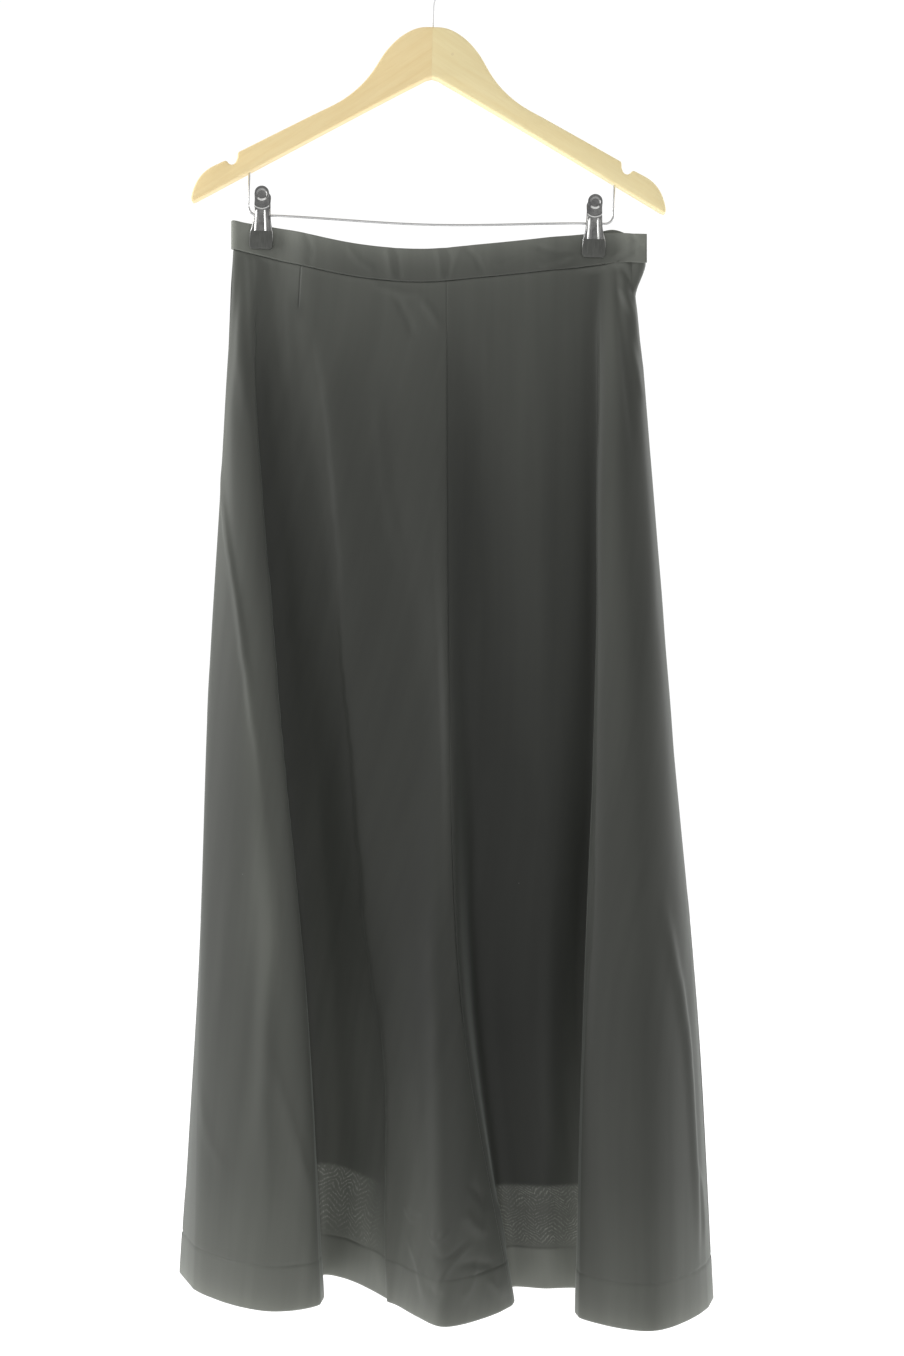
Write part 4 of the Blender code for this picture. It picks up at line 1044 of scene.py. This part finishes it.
def buildPlate(node, face, place, material):
    headZ, radius, columns = clip["headZ"], clip["headRadius"], clip["columns"]
    heights = np.concatenate((headZ + radius * np.sin(np.radians(np.linspace(86, 0, 24))),
                              np.linspace(headZ, 4, 42)[1:],
                              np.linspace(4, clip["widths"][0][0], 46)[1:]))
    half = np.where(heights > headZ,
                    np.sqrt(np.maximum(radius ** 2 - (heights - headZ) ** 2, 0)),
                    readTable(clip["widths"], heights))[:, None]
    spread = np.mean([readTable(clip["spread"], heights + d) for d in (-1.5, 0, 1.5)], axis=0)
    swing = math.pi / 2 * 0.93  # brings the columns closer at the edges
    x = half * np.sin(np.linspace(-1, 1, columns) * swing) / math.sin(swing)
    z = np.repeat(heights[:, None], columns, axis=1)
    relief, paintedShine = plateRelief(x, z, half)
    points = np.stack((x, -spread[:, None] - relief, z), axis=-1).reshape(-1, 3)
    work = bmesh.new()
    shineLayer = work.verts.layers.float.new("paintedShine")
    for vert, spot, bright in zip(gridVerts(work, len(heights), columns, -1), points, paintedShine.flat):
        vert.co = spot
        vert[shineLayer] = bright
    bmesh.ops.solidify(work, geom=work.faces[:], thickness=clip["steel"])
    for side in (-1, 1):
        ear = clip["earRadius"]
        made = bmesh.ops.create_cone(work, cap_ends=True, segments=24, radius1=ear,
                                     radius2=ear, depth=clip["earThick"],
                                     matrix=Matrix.Rotation(math.pi / 2, 4, "Y"))["verts"]
        for vert in made:
            if vert.co.y < -0.01:
                vert.co.y = -clip["pivot"]
                vert.co.z = math.copysign(ear, vert.co.z)
            vert.co.x += side * clip["ears"][face]
        bmesh.ops.remove_doubles(work, verts=made, dist=0.01)
    finishWork(work, place, 50)
    addPiece(node, "_stamped", work, material)


def buildCover(node, place, material):
    # a dipped rubber sleeve: wider below, its corners round
    sleeve = clip["cover"]
    (top, foot), (halfTop, halfFoot) = sleeve["heights"], sleeve["halves"]
    corners = ((-halfTop, top, 0.8), (halfTop, top, 0.8), (halfFoot, foot + 6, 2),
               (halfFoot - 0.4, foot, 3.2), (0.4 - halfFoot, foot, 3.2), (-halfFoot, foot + 6, 2))
    outline = []
    for number, (x, z, radius) in enumerate(corners):
        corner = Vector((x, z))
        before, after = ((Vector(corners[other][:2]) - corner).normalized() * radius
                         for other in (number - 1, (number + 1) % 6))
        for part in np.linspace(0, 1, 6):
            outline.append(corner + before * (1 - part) ** 2 + after * part ** 2)
    work = bmesh.new()
    y = -sleeve["grip"] - sleeve["thick"] / 2
    front = work.faces.new([work.verts.new((spot.x, y, spot.y)) for spot in outline])
    grown = bmesh.ops.extrude_face_region(work, geom=[front])["geom"]
    moved = [item for item in grown if isinstance(item, bmesh.types.BMVert)]
    bmesh.ops.translate(work, vec=(0, sleeve["thick"], 0), verts=moved)
    bmesh.ops.recalc_face_normals(work, faces=work.faces)
    rims = [edge for edge in work.edges if edge.calc_face_angle(0) > math.radians(60)]
    bmesh.ops.bevel(work, geom=rims, offset=sleeve["round"], offset_type="OFFSET",
                    affect="EDGES", segments=3, profile=0.5, material=-1, clamp_overlap=True)
    bmesh.ops.remove_doubles(work, verts=work.verts, dist=0.01)
    finishWork(work, place, 35)
    addPiece(node, "_sleeve", work, material)


def springPoints():
    coil = clip["spring"]
    part = np.linspace(0, 1, int(20 * coil["turns"]) + 1)
    angle = math.pi + 2 * math.pi * coil["turns"] * part
    x = coil["turns"] * coil["pitch"] * (part - 0.5)
    turns = np.stack((x, coil["radius"] * np.cos(angle), coil["radius"] * np.sin(angle)), axis=1)
    reach = readTable(clip["spread"], coil["legZ"]) - clip["legGap"]
    return np.concatenate(([(x[0], -reach, coil["legZ"])], turns,
                           [(x[-1], reach, coil["legZ"])]))


def steelMaterial():
    material, shader, steel = newMaterial("dull clip steel", Metallic=1.0, Roughness=0.24)
    place, paintedShine = objectPlace(steel), painted(steel, "paintedShine")
    cloudy = noise(steel, place, 150.0)
    dull = ramp(steel, cloudy, (0.3, (0.20, 0.20, 0.20)), (0.7, (0.34, 0.34, 0.33)))
    # painted highlights: near white and less metallic where the painted shine is above 0, darker
    # where it is below
    tint = mixColors(steel, paintedShine, dull, (0.93, 0.93, 0.91))
    feed(mixColors(steel, paintedShine * -1.0, tint, (0.10, 0.10, 0.10)), shader, "Base Color")
    feed(1 - steel.math("MAXIMUM", paintedShine, 0.0) * 0.7, shader, "Metallic")
    feed(0.16 + cloudy * 0.12, shader, "Roughness")
    feed(bump(steel, noise(steel, place, 500.0, 1.0), 0.00012, 0.12), shader, "Normal")
    return material


def coatingMaterial():
    material, shader, coat = newMaterial("dark jaw coating", Roughness=0.42,
                                         Specular_IOR_Level=0.45)
    place = objectPlace(coat)
    wear = noise(coat, placed(coat, place, (900, 900, 160)), 1.0, 3.0)
    feed(ramp(coat, wear, (0.35, (0.066, 0.068, 0.062)), (0.7, (0.090, 0.092, 0.085))),
         shader, "Base Color")
    feed(0.34 + wear * 0.2, shader, "Roughness")
    feed(bump(coat, noise(coat, place, 1500.0), 0.0001, 0.4), shader, "Normal")
    return material


clipSteel, jawCoating = steelMaterial(), coatingMaterial()
for side, sideName in ((-1, "left"), (1, "right")):
    for face, turn in (("front", 0.0), ("back", math.pi)):
        place = clipPlace(side, turn)
        buildPlate(f"clip_{sideName}_{face}_plate", face, place, clipSteel)
        buildCover(f"clip_{sideName}_{face}_cover", place, jawCoating)
    wirePiece(f"clip_{sideName}_spring", springPoints(), clip["spring"]["wire"], barChrome,
              clipPlace(side, 0), 8)
print("clips: plates, springs and coated jaws")


# Floor, light and camera

stage = {
    "floorZ": -1.75, "floorHalf": 7.0,
    "camera": (0.01607, -1.9, -0.68742), "pixel": 0.943 * mm, "pictureHeight": 1356,
    "sensor": 36,
}
light = {
    "front": 0.50, "sides": 1.50, "back": 0.55,  # the room is dimmer behind the camera
    "sidesBetween": (-0.55, 0.30), "backBetween": (0.35, 0.95),  # headings, toward the back
    "seen": 1.05,  # how bright the camera sees the room
    "left window": ((-1.40, -0.24, -0.30), (-0.1, 0, -0.75), (0.45, 1.2), 13.0),
    "rear window": ((1.40, 0.55, -0.30), (0.1, 0.1, -0.75), (0.45, 1.2), 8.0),
}


def buildStage():
    material = newMaterial("pale floor", Roughness=0.9, Base_Color=(0.9, 0.9, 0.9, 1),
                           Emission_Color=(1, 1, 1, 1), Emission_Strength=0.35)[0]
    work = bmesh.new()
    bmesh.ops.create_grid(work, x_segments=1, y_segments=1, size=stage["floorHalf"],
                          matrix=Matrix.Translation((0, 0, stage["floorZ"])))
    meshObject("floor", work, material)


def areaLight(name, place, aim, size, power):
    source = bpy.data.lights.new(name, "AREA")
    source.shape, source.energy = "RECTANGLE", power
    source.size, source.size_y = size
    lamp = newObject(name, source)
    lamp.location = place
    lamp.rotation_mode = "QUATERNION"
    lamp.rotation_quaternion = (Vector(aim) - Vector(place)).to_track_quat("-Z", "Y")
    lamp.visible_camera = False


def buildLights():
    world = bpy.data.worlds.new("white room")
    bpy.context.scene.world = world
    world.use_nodes = True
    background = world.node_tree.nodes["Background"]
    background.inputs["Color"].default_value = (1, 1, 1, 1)
    room = Signal(world.node_tree)
    toBack = alongAxis(room, room.make("ShaderNodeTexCoord", output="Generated"), "Y")
    front, sides, back = (light[key] for key in ("front", "sides", "back"))
    graded = (rising(room, toBack, *light["sidesBetween"], front, sides)
              - rising(room, toBack, *light["backBetween"], 0.0, sides - back))
    seen = room.make("ShaderNodeLightPath", output="Is Camera Ray")
    feed(graded + (light["seen"] - graded) * seen, background, "Strength")
    for name in ("left window", "rear window"):
        areaLight(name, *light[name])


def buildCamera():
    data = bpy.data.cameras.new("camera")
    data.sensor_width = stage["sensor"]
    height = stage["pictureHeight"] * stage["pixel"]
    data.lens = stage["sensor"] * -stage["camera"][1] / height
    data.clip_start, data.clip_end = 0.05, 50
    camera = newObject("camera", data)
    camera.location = stage["camera"]
    camera.rotation_euler = (math.pi / 2, 0, 0)
    bpy.context.scene.camera = camera


buildStage()
buildLights()
buildCamera()
bpy.context.scene.view_settings.view_transform = "Standard"
print("stage set")
